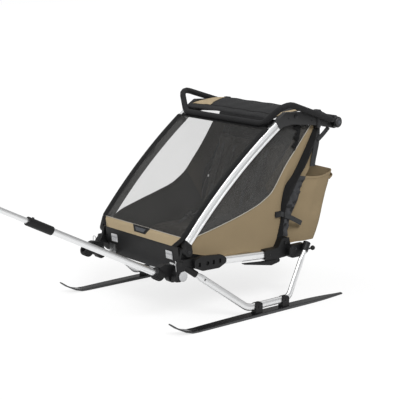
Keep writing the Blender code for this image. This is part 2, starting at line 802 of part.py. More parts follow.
def make_hub_buttons():
    """Round caps pressed inwards to free the handlebar."""
    low = bracket_outer_hub_x() + RUN_GAP + EYE_WIDTH - CAP_POCKET + CAP_TRAVEL + RUN_GAP
    high = low + CAP_POCKET - CAP_TRAVEL + CAP_STANDS
    edge = CAP_STANDS / 2
    profile = [(0, 0), (CAP_RADIUS - FIT_GAP, 0), (CAP_RADIUS - FIT_GAP, high - low - edge),
               (CAP_RADIUS - edge, high - low), (0, high - low)]
    start = Vector((low, *HUB))
    pair("hub_button", turned(profile, start, (1, 0, 0), 24), "black_plastic", "handlebar", start)


def make_uprights():
    eye_low = upright_x() - UPRIGHT_TUBE
    eye_high = bracket_x()[0] - RUN_GAP
    bar = tube(upright_route(), UPRIGHT_TUBE, 12)
    bar = joined(bar, disc(UPRIGHT_PIVOT, UPRIGHT_EYE, eye_low, eye_high, 20))
    bar = cut(bar, disc(UPRIGHT_PIVOT, UPRIGHT_PIN + RUN_GAP, upright_x() - RUN_GAP, eye_high + OVERCUT, 12))
    pair("upright", bar, "black_metal", "rear_frame")


def make_rear_corners():
    low, high = corner_inner_x(), corner_outer_x()
    sleeve_z = rail_height(REAR_SLEEVE_START)
    end_z = rail_height(RAIL_REAR[0])
    half = RAIL_HEIGHT / 2 + CORNER_WALL
    outline = ((REAR_SLEEVE_START, sleeve_z - half), (RAIL_REAR[0], end_z - half),
               (REAR_CORNER_BACK, end_z - half + CASTING_EDGE), (REAR_CORNER_BACK, REAR_CORNER_SHOULDER),
               (REAR_CORNER_CREST[0], REAR_CORNER_TOP), (REAR_CORNER_CREST[1], REAR_CORNER_TOP),
               (REAR_CORNER_NECK, end_z + half + CASTING_EDGE), (REAR_SLEEVE_START, sleeve_z + half))
    foot_y, foot_z = PEDAL_EAR_FOOT
    root_y, root_z = PEDAL_EAR_ROOT
    root = end_z - half + root_z - PEDAL_PIVOT[1]
    ear = shifted(PEDAL_PIVOT, ((-foot_y, -foot_z), (foot_y, -foot_z), (root_y, root), (-root_y, root)))
    ears = prism(ear, low, RAIL_X - PEDAL_WIDTH / 2 - RUN_GAP, PIN_BITE)
    pin = disc(PEDAL_PIVOT, PEDAL_PIN, low + PIN_BITE / 2, RAIL_X + PEDAL_WIDTH / 2, 12)
    for side, others in (("left", (ears, pin)), ("right", ())):
        rail_hole = swept(rail_route(REAR_SLEEVE_START - 2 * OVERCUT, REAR_SLEEVE_START + RAIL_BITE + FIT_GAP),
                          rail_section(FIT_GAP))
        pocket_low = high - BUTTON_TRAVEL - BUTTON_SEAT
        pocket = disc(BUTTON_PLACE, BUTTON_RADIUS + FIT_GAP, pocket_low, high + OVERCUT, 16)
        corner = cut(joined(prism(outline, low, high, CASTING_EDGE), *others), rail_hole, pocket)
        if side == "right":
            mirror_x(corner)
        node(f"rear_corner_{side}", corner, "black_plastic")


def mirror_x(bm):
    """Turns a left piece into a right one."""
    bmesh.ops.scale(bm, vec=(-1, 1, 1), verts=bm.verts)
    bmesh.ops.reverse_faces(bm, faces=bm.faces)


def make_fold_buttons():
    high = corner_outer_x()
    start = Vector((high - BUTTON_SEAT + RUN_GAP, *BUTTON_PLACE))
    length = BUTTON_SEAT + BUTTON_TRAVEL + BUTTON_STANDS
    profile = [(0, 0), (BUTTON_RADIUS - FIT_GAP, 0), (BUTTON_RADIUS - FIT_GAP, length - BUTTON_STANDS),
               (BUTTON_RADIUS - BUTTON_STANDS, length), (0, length)]
    pair("fold_button", turned(profile, start, (1, 0, 0), 16), "black_plastic", "base", start)


def make_brake_pedal():
    low, high = RAIL_X - PEDAL_WIDTH / 2, RAIL_X + PEDAL_WIDTH / 2
    over_eye = PEDAL_EYE - PEDAL_EYE_STEP
    around_pivot = shifted(PEDAL_PIVOT, (PEDAL_BELLY, (0.0, -PEDAL_EYE), (0.0, over_eye), PEDAL_BROW))
    toe = shifted(PEDAL_TOE, ((0.0, 0.0), (0.0, -PEDAL_TOE_THICK)))
    blade = prism(around_pivot + toe, low, high)
    pedal = joined(blade, disc(PEDAL_PIVOT, PEDAL_EYE, low, high, 16))
    pedal = cut(pedal, disc(PEDAL_PIVOT, PEDAL_PIN + RUN_GAP, low - OVERCUT, high + OVERCUT, 12))
    node("brake_pedal", pedal, "black_plastic", "base", Vector((RAIL_X, *PEDAL_PIVOT)))


def make_front_bar():
    end = corner_outer_x() - CORNER_WALL - FIT_GAP
    node("front_crossbar", cylinder((-end, *CROSSBAR), (end, *CROSSBAR), CROSSBAR_RADIUS, 16), "silver")


def bumper_y(z):
    """The bumper's front face at height z."""
    share = (z - BUMPER_FOOT[1]) / (BUMPER_TOP[1] - BUMPER_FOOT[1])
    return lerp(BUMPER_FOOT[0], BUMPER_TOP[0], share)


def make_bumper():
    reach = corner_inner_x() - FIT_GAP
    outline = [(-BUMPER_FOOT_HALF_WIDTH, BUMPER_FOOT[1]), (BUMPER_FOOT_HALF_WIDTH, BUMPER_FOOT[1]),
               (BUMPER_HALF_WIDTH - BUMPER_SHOULDER_STEP, BUMPER_SHOULDER)]
    outline += zip((BUMPER_HALF_WIDTH, reach, reach, BUMPER_HALF_WIDTH), BUMPER_WING)
    outline.append((BUMPER_HALF_WIDTH, BUMPER_TOP[1]))
    outline += [(-x, z) for x, z in reversed(outline[2:])]
    bm = bmesh.new()
    front = [bm.verts.new((x, bumper_y(z), z)) for x, z in outline]
    back = [bm.verts.new((x, bumper_y(z) + BUMPER_WALL, z)) for x, z in outline]
    bm.faces.new(front)
    bm.faces.new(back)
    for k in range(len(front)):
        after = (k + 1) % len(front)
        bm.faces.new((front[k], front[after], back[after], back[k]))
    bmesh.ops.recalc_face_normals(bm, faces=bm.faces)
    node("bumper", bm, "black_plastic")


def make_reflectors():
    width, height = REFLECTOR_SIZE
    bm = block((REFLECTOR_X - width / 2, -REFLECTOR_THICK, REFLECTOR_HEIGHT - height / 2),
               (REFLECTOR_X + width / 2, 0, REFLECTOR_HEIGHT + height / 2), 0.0015, 1)
    for vert in bm.verts:
        vert.co.y += bumper_y(vert.co.z) - FIT_GAP
    pair("reflector", bm, "reflector")


def make_tabs():
    """Bent aluminium tabs that tie the bumper's lower corners to the front bar."""
    seat = CROSSBAR[0] + CROSSBAR_RADIUS + FIT_GAP
    foot = CROSSBAR[1] - TAB_DROP
    back = [(bumper_y(z) - FIT_GAP, z) for z in (foot, TAB_TOP)]
    outline = [(seat, foot), back[0], back[1], (back[1][0] - TAB_WALL, TAB_TOP),
               (bumper_y(foot + TAB_WALL) - TAB_WALL, foot + TAB_WALL), (seat, foot + TAB_WALL)]
    tab = prism(outline, TAB_X - TAB_WIDTH / 2, TAB_X + TAB_WIDTH / 2)
    hole_z = (foot + TAB_TOP) / 2 + TAB_HOLE_RISE
    hole_y = bumper_y(hole_z)
    hole = cylinder((TAB_X, hole_y - OVERCUT, hole_z), (TAB_X, hole_y + OVERCUT, hole_z), TAB_HOLE, 12)
    pair("bumper_tab", cut(tab, hole), "silver")


def arm_at(distance, x=SOCKET_X):
    """A point on the tow arm's centre line."""
    y = ARM_START[0] - distance * math.cos(ARM_RISE)
    z = ARM_START[1] + distance * math.sin(ARM_RISE)
    return Vector((x, y, z))


def make_hitch_sockets():
    """Swivelling sockets on the front bar: a ribbed drum on a lobed clamp."""
    low = SOCKET_X - SOCKET_WIDTH / 2
    high = corner_inner_x() - RUN_GAP
    lobes = disc(CROSSBAR, SOCKET_LOBE, low, high, 20)
    upper = prism(shifted(CROSSBAR, SOCKET_HOUSING), low + SOCKET_INSET, high - SOCKET_INSET / 2, 2 * DRUM_EDGE)
    forward = -flat_direction(-ARM_RISE)
    drum_profile = [(0, 0), (DRUM_RADIUS - DRUM_EDGE, 0), (DRUM_RADIUS, DRUM_EDGE),
                    (DRUM_RADIUS, DRUM_LENGTH - DRUM_EDGE), (DRUM_RADIUS - DRUM_EDGE, DRUM_LENGTH),
                    (0, DRUM_LENGTH)]
    drum = turned(drum_profile, arm_at(-DRUM_BACK), forward, 20)
    socket = joined(lobes, upper, drum)
    bore = cylinder(arm_at(-FIT_GAP), arm_at(2 * DRUM_LENGTH), ARM_RADIUS + FIT_GAP, 16)
    bar_hole = disc(CROSSBAR, CROSSBAR_RADIUS + RUN_GAP, low - OVERCUT, high + OVERCUT, 16)
    pair("hitch_socket", cut(socket, bar_hole, bore), "black_plastic", "hitch")


def make_tow_arm():
    forward = -flat_direction(-ARM_RISE)
    node("tow_arm_rear", cylinder(arm_at(0), arm_at(COUPLING_AT + COUPLING_OVERLAP), ARM_RADIUS, 16), "silver",
         "hitch")
    coupling = cylinder(arm_at(COUPLING_AT), arm_at(COUPLING_AT + COUPLING_LENGTH), COUPLING_RADIUS, 20)
    rear_bore = cylinder(arm_at(COUPLING_AT - OVERCUT), arm_at(COUPLING_AT + COUPLING_OVERLAP + FIT_GAP),
                         ARM_RADIUS + FIT_GAP, 16)
    front_bore = cylinder(arm_at(COUPLING_AT + COUPLING_OVERLAP - RUN_GAP),
                          arm_at(COUPLING_AT + COUPLING_LENGTH + OVERCUT), ARM_FRONT_RADIUS + RUN_GAP, 16)
    place = arm_at(COUPLING_AT + COUPLING_LENGTH - ARM_BUTTON_PLACE)
    upward = Vector((0, forward.z, -forward.y)).normalized()
    button_hole = cylinder(place, place + upward * 2 * COUPLING_RADIUS, ARM_BUTTON_RADIUS + FIT_GAP, 14)
    node("tow_arm_coupling", cut(coupling, rear_bore, front_bore, button_hole), "black_plastic", "hitch")
    start = arm_at(COUPLING_AT + COUPLING_OVERLAP + FIT_GAP)
    front = cylinder(start, arm_at(ARM_LENGTH - ARM_END_LENGTH - FIT_GAP), ARM_FRONT_RADIUS, 16)
    node("tow_arm_front", front, "silver", "hitch", start)
    end_base = arm_at(ARM_LENGTH - ARM_END_LENGTH)
    end_profile = [(0, 0), (ARM_END_RADIUS - ARM_END_EDGE, 0), (ARM_END_RADIUS, ARM_END_EDGE),
                   (ARM_END_RADIUS, ARM_END_COLLAR),
                   (ARM_END_RADIUS - ARM_END_TAPER, ARM_END_LENGTH - ARM_END_TAPER),
                   (ARM_END_RADIUS - 2 * ARM_END_TAPER, ARM_END_LENGTH), (0, ARM_END_LENGTH)]
    end = turned(end_profile, end_base, forward, 20)
    eye = arm_at(ARM_LENGTH - ARM_END_EYE)
    across = Vector((2 * ARM_END_RADIUS, 0, 0))
    end = cut(end, cylinder(eye - across, eye + across, ARM_END_HOLE, 14))
    node("tow_arm_end", end, "black_plastic", "hitch", start)
    seat = place + upward * (ARM_FRONT_RADIUS + ARM_BUTTON_TRAVEL + 2 * RUN_GAP)
    length = COUPLING_RADIUS - ARM_FRONT_RADIUS
    button = turned([(0, 0), (ARM_BUTTON_RADIUS, 0), (ARM_BUTTON_RADIUS, length - ARM_BUTTON_EDGE),
                     (ARM_BUTTON_RADIUS - ARM_BUTTON_EDGE, length), (0, length)], seat, upward, 14)
    node("tow_arm_button", button, "black_plastic", "hitch", seat)


def ski_outline(share):
    """Half-width of the ski at a share of its length from the tip."""
    tip = min(share / SKI_TIP_SHARE, 1.0)
    tail = min((1 - share) / SKI_TAIL_SHARE, 1.0)
    front = lerp(SKI_TIP_WIDTH, SKI_WIDTH, math.sin(tip * math.pi / 2))
    rear = lerp(SKI_TAIL_WIDTH, SKI_WIDTH, math.sin(tail * math.pi / 2))
    return min(front, rear) / 2


def ski_thickness(share):
    return lerp(SKI_END, SKI_WAIST, math.sin(math.pi * min(max(share, 0.02), 0.98)) ** 0.7)


def make_skis(steps=30):
    bm = bmesh.new()
    rings = []
    tip_share = SKI_TIP_REACH / SKI_LENGTH
    for k in range(steps + 1):
        share = k / steps if k > 0 else 0.0
        y = -SKI_TIP_REACH + SKI_LENGTH * share
        turn = max(0.0, 1 - share / (tip_share * 1.18))
        sole = SKI_TIP_RISE * turn ** 1.9
        half = ski_outline(share)
        top = sole + ski_thickness(share)
        edge = min(SKI_EDGE_INSET, half * 0.4)
        section = ((-half, sole), (half, sole), (half, top - SKI_EDGE_DROP), (half - edge, top),
                   (-half + edge, top), (-half, top - SKI_EDGE_DROP))
        rings.append([bm.verts.new((SKI_TRACK / 2 + x, y, z)) for x, z in section])
    for ring, after in zip(rings, rings[1:]):
        for k in range(6):
            bm.faces.new((ring[k], ring[(k + 1) % 6], after[(k + 1) % 6], after[k]))
    bm.faces.new(rings[0])
    bm.faces.new(rings[-1])
    bmesh.ops.recalc_face_normals(bm, faces=bm.faces)
    pair("ski", bm, "ski_base", smooth=30)


def ski_top(y):
    return ski_thickness((y + SKI_TIP_REACH) / SKI_LENGTH)


def ski_tube_route():
    x = SKI_TRACK / 2
    points = [ski_tube_at(SLEEVE_END - RAIL_BITE), (x, SKI_TUBE_FRONT_BEND, SKI_TUBE_HEIGHT),
              (x, SKI_TUBE_REAR_BEND, SKI_TUBE_HEIGHT), SKI_TUBE_TOP]
    return filleted(points, SKI_TUBE_BEND, 5)


def make_ski_tubes():
    pair("ski_tube", tube(ski_tube_route(), SKI_TUBE_RADIUS, 14), "silver")
    sleeve = cylinder(ski_tube_at(SLEEVE_START), ski_tube_at(SLEEVE_END), SLEEVE_RADIUS, 18)
    bore = cylinder(ski_tube_at(SLEEVE_END - RAIL_BITE - FIT_GAP), ski_tube_at(SLEEVE_END + OVERCUT),
                    SKI_TUBE_RADIUS + FIT_GAP, 14)
    pair("ski_sleeve", cut(sleeve, bore), "black_plastic")


def make_lugs():
    x = SKI_TRACK / 2
    for name, y in zip(("ski_lug_front", "ski_lug_rear"), LUG_PLACES):
        foot = max(ski_top(y + reach) for reach in (-LUG_LENGTH / 2, 0, LUG_LENGTH / 2)) + FIT_GAP
        reach_x, reach_y = LUG_WIDTH / 2, LUG_LENGTH / 2
        bm = block((x - reach_x, y - reach_y, foot), (x + reach_x, y + reach_y, LUG_TOP))
        top_edges = [e for e in bm.edges if all(v.co.z > LUG_TOP - FIT_GAP for v in e.verts)]
        bmesh.ops.bevel(bm, geom=top_edges, offset=LUG_CORNER, segments=3, affect="EDGES", profile=0.5)
        bore = tube(ski_tube_route(), SKI_TUBE_RADIUS + FIT_GAP, 14)
        pair(name, cut(bm, bore), "black_plastic")


def make_pods():
    """Moulded wheel-hub housings along the front of each rail, not in use on skis."""
    low = corner_outer_x() + FIT_GAP
    high = low + POD_WIDTH
    pod = prism(POD_OUTLINE, low, high, CASTING_EDGE)
    pod = cut(pod, disc(POD_HOLE, POD_HOLE_RADIUS, high - POD_RECESS, high + OVERCUT, 16))
    for y in POD_SLOTS:
        z = POD_HOLE[1]
        half_y, half_z = POD_SLOT_SIZE[0] / 2, POD_SLOT_SIZE[1] / 2
        slot = block((high - POD_RECESS, y - half_y, z - half_z), (high + OVERCUT, y + half_y, z + half_z))
        pod = cut(pod, slot)
    pair("hub_pod", cut(pod, sleeve_cutter()), "black_plastic")


def make_axle():
    low = corner_outer_x() + FIT_GAP
    beam_end = low - FIT_GAP
    node("axle_beam", cylinder((-beam_end, *BEAM), (beam_end, *BEAM), BEAM_RADIUS, 16), "black_metal")
    high = low + BLOCK_WIDTH
    body = prism(BLOCK_OUTLINE, low, high, BLOCK_EDGE)
    top = Vector(SKI_TUBE_TOP)
    route = ski_tube_route()
    direction = (route[-1] - route[-2]).normalized()
    collar = cylinder(top - direction * COLLAR_LENGTH, top + direction * COLLAR_LIP, COLLAR_RADIUS, 18)
    bore_low = top - direction * (COLLAR_LENGTH + OVERCUT)
    bore = cylinder(bore_low, top + direction * FIT_GAP, SKI_TUBE_RADIUS + FIT_GAP, 14)
    block_back = BLOCK_OUTLINE[3][0]
    stem_hole = cylinder((KNOB_X, block_back - KNOB_SEAT, KNOB_HEIGHT), (KNOB_X, block_back + OVERCUT, KNOB_HEIGHT),
                         KNOB_STEM + RUN_GAP, 12)
    pair("axle_block", cut(joined(body, collar), bore, stem_hole), "black_plastic")


def make_knobs():
    """Ball knobs pulled backwards to free the ski tubes."""
    start = Vector((KNOB_X, BLOCK_OUTLINE[3][0] - KNOB_SEAT + RUN_GAP, KNOB_HEIGHT))
    ball_from = KNOB_REACH + KNOB_SEAT - KNOB_RADIUS
    profile = [(0, 0), (KNOB_STEM, 0)]
    for k in range(1, 8):
        angle = math.pi * (1 - k / 8)
        radius = KNOB_RADIUS * math.sin(angle)
        if radius > KNOB_STEM:
            profile.append((radius, ball_from + KNOB_RADIUS * (1 + math.cos(angle))))
    profile.append((0, ball_from + 2 * KNOB_RADIUS))
    profile.insert(2, (KNOB_STEM, profile[2][1] - FIT_GAP))
    pair("axle_knob", turned(profile, start, (0, 1, 0), 14), "black_plastic", "base", start)


def make_floor():
    """The fabric floor, stretched between the rails."""
    reach = RAIL_X - RAIL_WIDTH / 2 - CORNER_WALL - FIT_GAP
    node("floor", block((-reach, FLOOR_FRONT, FLOOR_TOP - FLOOR_THICK), (reach, FLOOR_REAR, FLOOR_TOP)),
         "black_fabric")


def crowned(length, depth, thickness, crown, channels):
    """A cushion lying flat, its back at z = 0: a crowned face with sewn channels and drawn-in sides."""
    across, along_count = 12, 10
    top, low = {}, {}
    bm = bmesh.new()
    for i in range(across + 1):
        for j in range(along_count + 1):
            u = 2 * i / across - 1
            v = 2 * j / along_count - 1
            swell = (1 - abs(u) ** 3) * (1 - abs(v) ** 3)
            pull = 1 - CUSHION_PULL * (1 - abs(v) ** 2) * abs(u) ** 4
            pinch = 1 - CUSHION_PINCH * (1 - abs(u) ** 2) * abs(v) ** 4
            channel = sum(math.exp(-((u - c) / CUSHION_CHANNEL[0]) ** 2) for c in channels)
            channel *= crown * CUSHION_CHANNEL[1] * (1 - abs(v) ** 4)
            x = u * length / 2 * pull
            y = (v + 1) / 2 * depth
            y = depth / 2 + (y - depth / 2) * pinch
            z = lerp(thickness * CUSHION_SIDE, thickness + crown, swell) - channel
            top[i, j] = bm.verts.new((x, y, z))
            low[i, j] = bm.verts.new((x * CUSHION_UNDERSIDE, lerp(depth / 2, y, CUSHION_UNDERSIDE), 0.0))
    for i in range(across):
        for j in range(along_count):
            bm.faces.new((top[i, j], top[i + 1, j], top[i + 1, j + 1], top[i, j + 1]))
    border = [(i, 0) for i in range(across)] + [(across, j) for j in range(along_count)]
    border += [(i, along_count) for i in range(across, 0, -1)] + [(0, j) for j in range(along_count, 0, -1)]
    for here, after in zip(border, border[1:] + border[:1]):
        bm.faces.new((top[here], low[here], low[after], top[after]))
    bm.faces.new([low[key] for key in border])
    bmesh.ops.delete(bm, geom=[v for v in bm.verts if not v.link_faces], context="VERTS")
    bmesh.ops.recalc_face_normals(bm, faces=bm.faces)
    return bm


def make_seat():
    """A bench cushion on the floor and a reclined back cushion, each with a channel between the two places."""
    bench = crowned(2 * SEAT_HALF_WIDTH, BENCH_DEPTH, BENCH_HEIGHT, BENCH_CROWN, (0.0,))
    bmesh.ops.translate(bench, verts=bench.verts, vec=(0, BENCH_FRONT, FLOOR_TOP + FIT_GAP))
    node("seat_bench", bench, "seat_fabric")
    back = crowned(2 * SEAT_HALF_WIDTH, BACK_LENGTH, BACK_THICK, BACK_CROWN, (-0.5, 0.0, 0.5))
    bmesh.ops.rotate(back, cent=(0, 0, 0), matrix=Matrix.Rotation(BACK_LEAN, 3, "X"), verts=back.verts)
    lowest = min(vert.co.z for vert in back.verts)
    bmesh.ops.translate(back, verts=back.verts, vec=(0, BACK_FOOT_Y, FLOOR_TOP + FIT_GAP - lowest))
    node("seat_back", back, "seat_fabric")


def make_canopy(rows=8, columns=10):
    """The roof: one curved sheet whose sides drop against the brackets."""
    route = smooth_route([in_side_view(p, 0) for p in CANOPY_ROUTE], rows // 3)
    half = bracket_x()[0] - FIT_GAP - CANOPY_THICK / 6
    grid = []
    for point in route:
        row = []
        for k in range(columns + 1):
            u = 2 * k / columns - 1
            row.append((u * half, point.y, point.z - CANOPY_DROP * abs(u) ** 4))
        grid.append(row)
    node("roof_canopy", sheet(grid, CANOPY_THICK), "black_fabric", "upper_frame")


def make_front_cover(rows=9):
    """Mesh front with its tan lower band, one sewn sheet hung from the roof's front edge."""
    levels = [(COVER_FOOT_HALF_WIDTH, *COVER_FOOT)]
    for k in range(rows + 1):
        share = COVER_TOP * k / rows
        levels.append((pillar_x(share) + PILLAR_WIDTH / 2 - COVER_INSET, *pillar_point(share, COVER_LIFT)))
    grid = [[(u * half, y, z) for u in (-1, -0.5, 0, 0.5, 1)] for half, y, z in levels]
    node("front_cover", sheet(grid, FABRIC_THICK), "mesh_fabric", "front_cover")


def side_outline():
    """Side wall outline: along the rail, up the upright, under the bracket and down behind the pillar."""
    floor_line = [*SIDE_FRONT_FOOT, *((y, rail_height(y) + RAIL_HEIGHT / 2 + gap) for y, gap in SIDE_OVER_RAIL),
                  *SIDE_REAR_FOOT]
    rear_line = [(panel_back(z) - SIDE_REAR_GAP, z) for z in SIDE_REAR_HEIGHTS]
    pillar_line = [tuple(pillar_point(share, -PILLAR_DEPTH / 4)) for share in (0.98, 0.75, 0.5, 0.25, 0.03)]
    return floor_line + rear_line + [SIDE_ROOF] + pillar_line


def make_side_panels():
    """Side walls of mesh over tan fabric, from rail to bracket between pillar and upright."""
    bm = prism(side_outline(), 0.0, FABRIC_THICK)
    for vert in bm.verts:
        vert.co.x += wall_x(vert.co.z, FABRIC_THICK + FIT_GAP)
    bmesh.ops.triangulate(bm, faces=bm.faces)
    pair("side_panel", bm, "mesh_fabric")


def make_rear_panel():
    """The cabin's back wall, stretched between the uprights."""
    half = upright_x() - UPRIGHT_TUBE - FIT_GAP
    grid = [[(u * half, p.y, p.z) for u in (-1, 0, 1)] for p in upright_route(2)[:-1]]
    node("rear_panel", sheet(grid, FABRIC_THICK), "black_fabric", "rear_frame")


def bag_levels():
    """Height, front and back of each ring of the bag, whose front wall follows the rear panel."""
    heights = [BAG_BASE] + [p.z for p in upright_route(2) if BAG_BASE < p.z < BAG_RIM] + [BAG_RIM]
    for z in heights:
        back = lerp(BAG_BACK[0], BAG_BACK[1], (z - BAG_BASE) / (BAG_RIM - BAG_BASE))
        yield z, panel_back(max(z, UPRIGHT_ROUTE[0][1])) + FIT_GAP, back


def bag_solid(inset, floor, rim):
    """A lofted box with rounded corners, drawn in from the bag's outside by inset."""
    bm = bmesh.new()
    rings = []
    for z, front, back in bag_levels():
        z += floor if z == BAG_BASE else rim if z == BAG_RIM else 0.0
        width, depth = 2 * (BAG_HALF_WIDTH - inset), back - front - 2 * inset
        section = rounded_rectangle(width, depth, BAG_CORNER - inset, 3)
        rings.append([bm.verts.new((a, (front + back) / 2 + b, z)) for a, b in section])
    count = len(rings[0])
    for ring, after in zip(rings, rings[1:]):
        for k in range(count):
            bm.faces.new((ring[k], ring[(k + 1) % count], after[(k + 1) % count], after[k]))
    bm.faces.new(rings[0])
    bm.faces.new(rings[-1])
    bmesh.ops.recalc_face_normals(bm, faces=bm.faces)
    return bm


def make_bag():
    """The open cargo bag behind the cabin."""
    bag = cut(bag_solid(0.0, 0.0, 0.0), bag_solid(BAG_WALL, BAG_WALL, OVERCUT))
    node("cargo_bag", bag, "tan_fabric", "rear_frame")


def centre_on_origin():
    """Moves the trailer so that the middle of its length and width stands over the origin."""
    bpy.context.view_layer.update()
    solids = [obj for obj in bpy.data.objects if obj.type == "MESH"]
    corners = [obj.matrix_world @ vert.co for obj in solids for vert in obj.data.vertices]
    low, high = min(c.y for c in corners), max(c.y for c in corners)
    BODY_EMPTIES["base"].location.y = -(low + high) / 2
    print("row shift in y:", round(-(low + high) / 2, 6), "length", round(high - low, 4))


def main():
    clear_scene()
    make_body_empties()
    make_rails()
    make_front_corners()
    make_knuckles()
    make_pillars()
    make_roof_brackets()
    make_handlebar()
    make_hub_buttons()
    make_uprights()
    make_rear_corners()
    make_fold_buttons()
    make_brake_pedal()
    make_front_bar()
    make_bumper()
    make_reflectors()
    make_tabs()
    make_hitch_sockets()
    make_tow_arm()
    make_skis()
    make_ski_tubes()
    make_lugs()
    make_pods()
    make_axle()
    make_knobs()
    make_floor()
    make_seat()
    make_canopy()
    make_front_cover()
    make_side_panels()
    make_rear_panel()
    make_bag()
    centre_on_origin()


main()
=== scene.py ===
"""Two-seat child trailer on skis: fabric, webbing, trim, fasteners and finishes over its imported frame.

Places are written as (x, y, z) in metres, where y = 0 is the skis' first ground contact, and at() moves them
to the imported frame. The nose points along -Y and the trailer's left side is +X. A rule that lays out a sheet
takes u across it and v along it, each from 0 to 1.
"""
import json
from functools import partial
from math import copysign, cos, exp, pi, radians, sin, sqrt, tan
import bmesh
import bpy
from bpy.props import FloatProperty, FloatVectorProperty, PointerProperty
from mathutils import Matrix, Vector, noise


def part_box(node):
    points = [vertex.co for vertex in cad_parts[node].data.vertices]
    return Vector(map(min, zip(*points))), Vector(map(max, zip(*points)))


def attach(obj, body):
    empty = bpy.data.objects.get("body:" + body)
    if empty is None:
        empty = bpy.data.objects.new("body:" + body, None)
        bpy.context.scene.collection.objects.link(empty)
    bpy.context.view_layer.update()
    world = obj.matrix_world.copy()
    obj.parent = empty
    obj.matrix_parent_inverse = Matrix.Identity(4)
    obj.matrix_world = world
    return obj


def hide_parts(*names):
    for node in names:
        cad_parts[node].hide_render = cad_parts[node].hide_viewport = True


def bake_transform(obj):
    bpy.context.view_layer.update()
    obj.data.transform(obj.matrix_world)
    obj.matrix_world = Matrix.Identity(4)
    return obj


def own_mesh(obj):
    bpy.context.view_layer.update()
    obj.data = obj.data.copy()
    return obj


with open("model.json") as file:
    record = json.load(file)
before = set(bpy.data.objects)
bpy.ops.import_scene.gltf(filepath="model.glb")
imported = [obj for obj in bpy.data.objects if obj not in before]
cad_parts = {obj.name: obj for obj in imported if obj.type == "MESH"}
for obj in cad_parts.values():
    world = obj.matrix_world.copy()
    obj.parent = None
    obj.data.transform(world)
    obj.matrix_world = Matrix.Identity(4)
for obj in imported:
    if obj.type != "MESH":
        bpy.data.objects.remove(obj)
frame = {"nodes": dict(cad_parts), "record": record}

bl_info = {
    "name": "Child trailer on skis",
    "version": (1, 0, 0),
    "blender": (4, 5, 0),
    "location": "3D View > Sidebar > Trailer",
    "description": "Dresses the frame of a two-seat child trailer with fabric, webbing, trim and finishes",
    "category": "Object",
}

SKI_TIP_REACH = 0.124
ROW_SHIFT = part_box("ski_left")[0][1] + SKI_TIP_REACH
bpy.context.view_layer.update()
SIDES = ((1, "left"), (-1, "right"))
MERGE = 1e-5

CAMERA_TURN, CAMERA_TILT = radians(50.4394), radians(11.9053)
CAMERA_PLACE = (4.90633, -3.58669, 1.87222)
FOCAL_SHARE = 1200.68 / 400
SENSOR = 36.0
SUNS = (("key", 1.8, 25.0, (47.0, 0.0, 70.0)), ("fill", 0.6, 60.0, (50.0, 0.0, -30.0)))

PILLAR_FOOT, PILLAR_HEAD = Vector((0.095, 0.42)), Vector((0.7, 0.97))
PILLAR_BOW = 0.028
PILLAR_FOOT_X, PILLAR_HEAD_X = 0.349, 0.368
PILLAR_WIDTH, PILLAR_DEPTH, PILLAR_CORNER = 0.026, 0.052, 0.0055
COVER_LIFT = PILLAR_DEPTH / 2 + 0.0018
COVER_NOSE, NOSE_HALF, NOSE_SHARE = Vector((0.052, 0.394)), 0.313, 0.06
SKI_TUBE_CORNERS = ((0.3704, 0.1051, 0.2699), (0.485, 0.385, 0.052), (0.485, 0.672, 0.052), (0.4185, 0.868, 0.305))
SKI_TUBE_BEND = 0.07
SKI_TUBE_ROUND, SKI_TUBE_OVAL = (0.013, 0.013), (0.011, 0.019)
SKI_X, LUG_HALF = 0.485, 0.0178
ARM_RISE = radians(27.1)
ARM_FOOT = (-0.052, 0.268)
SOCKET_X = 0.312
DRUM_RIBS = 16
UPRIGHT_ROUTE = ((0.768, 0.335), (0.77, 0.45), (0.802, 0.556), (0.898, 0.676), (0.96, 0.765), (0.985, 0.88),
                 (0.985, 0.955))
BACK_LEAN = radians(70.0)
BACK_FOOT = (0.676, 0.2853)
FOLD_LEVEL = 0.318
BAG_HALF, BAG_FOOT, BAG_RIM, BAG_RISE = 0.333, 0.296, 0.672, 0.376
ROOF_HALF = 0.3535
CLAMP_X, BOSS_X = 0.368, 0.3805
CHILD_X = 0.132
CUSHION_VOXEL, CUSHION_PRESSURE, CUSHION_FRAMES = 0.006, 4.0, 20


def colour(name, description, *default):
    return FloatVectorProperty(name=name, description=description, subtype="COLOR", size=3, default=default,
                               min=0, max=1)


def length(name, description, default, low, high):
    return FloatProperty(name=name, description=description, unit="LENGTH", default=default, min=low, max=high)


class TrailerColours(bpy.types.PropertyGroup):
    """Colours of the fabrics and finishes."""

    tan: colour("Tan fabric", "Side walls and bag", 0.355, 0.272, 0.163)
    sand: colour("Nose band", "Tan band at the foot of the front cover", 0.47, 0.372, 0.235)
    black: colour("Black fabric", "Roof, trim and rear wall", 0.011, 0.011, 0.0115)
    mesh: colour("Mesh", "Windows of the front cover and side walls", 0.175, 0.173, 0.17)
    seat: colour("Seat fabric", "Cushions", 0.02, 0.017, 0.013)
    webbing: colour("Webbing", "Straps", 0.045, 0.046, 0.048)
    silver: colour("Aluminium", "Rails, pillars and tubes", 0.86, 0.865, 0.87)
    plastic: colour("Black plastic", "Moulded joints", 0.0065, 0.0065, 0.007)
    piping: colour("Piping", "Cord sewn round the windows", 0.58, 0.55, 0.48)


class TrailerSizes(bpy.types.PropertyGroup):
    """Sizes of the sewn and fastened details."""

    piping: length("Piping radius", "Half the thickness of the sewn piping", 0.0022, 0.001, 0.005)
    webbing: length("Webbing width", "Width of the harness straps", 0.025, 0.01, 0.05)
    edging: length("Cover edging width", "Black strip along each side of the front cover", 0.036, 0.01, 0.06)
    sag: length("Wall sag", "How far the side walls' fabric bellies outwards", 0.008, 0.0, 0.02)
    cushion: length("Cushion swell", "Most that a point of a cushion moves as it fills", 0.012, 0.005, 0.016)


def sizes():
    return bpy.context.scene.trailer_sizes


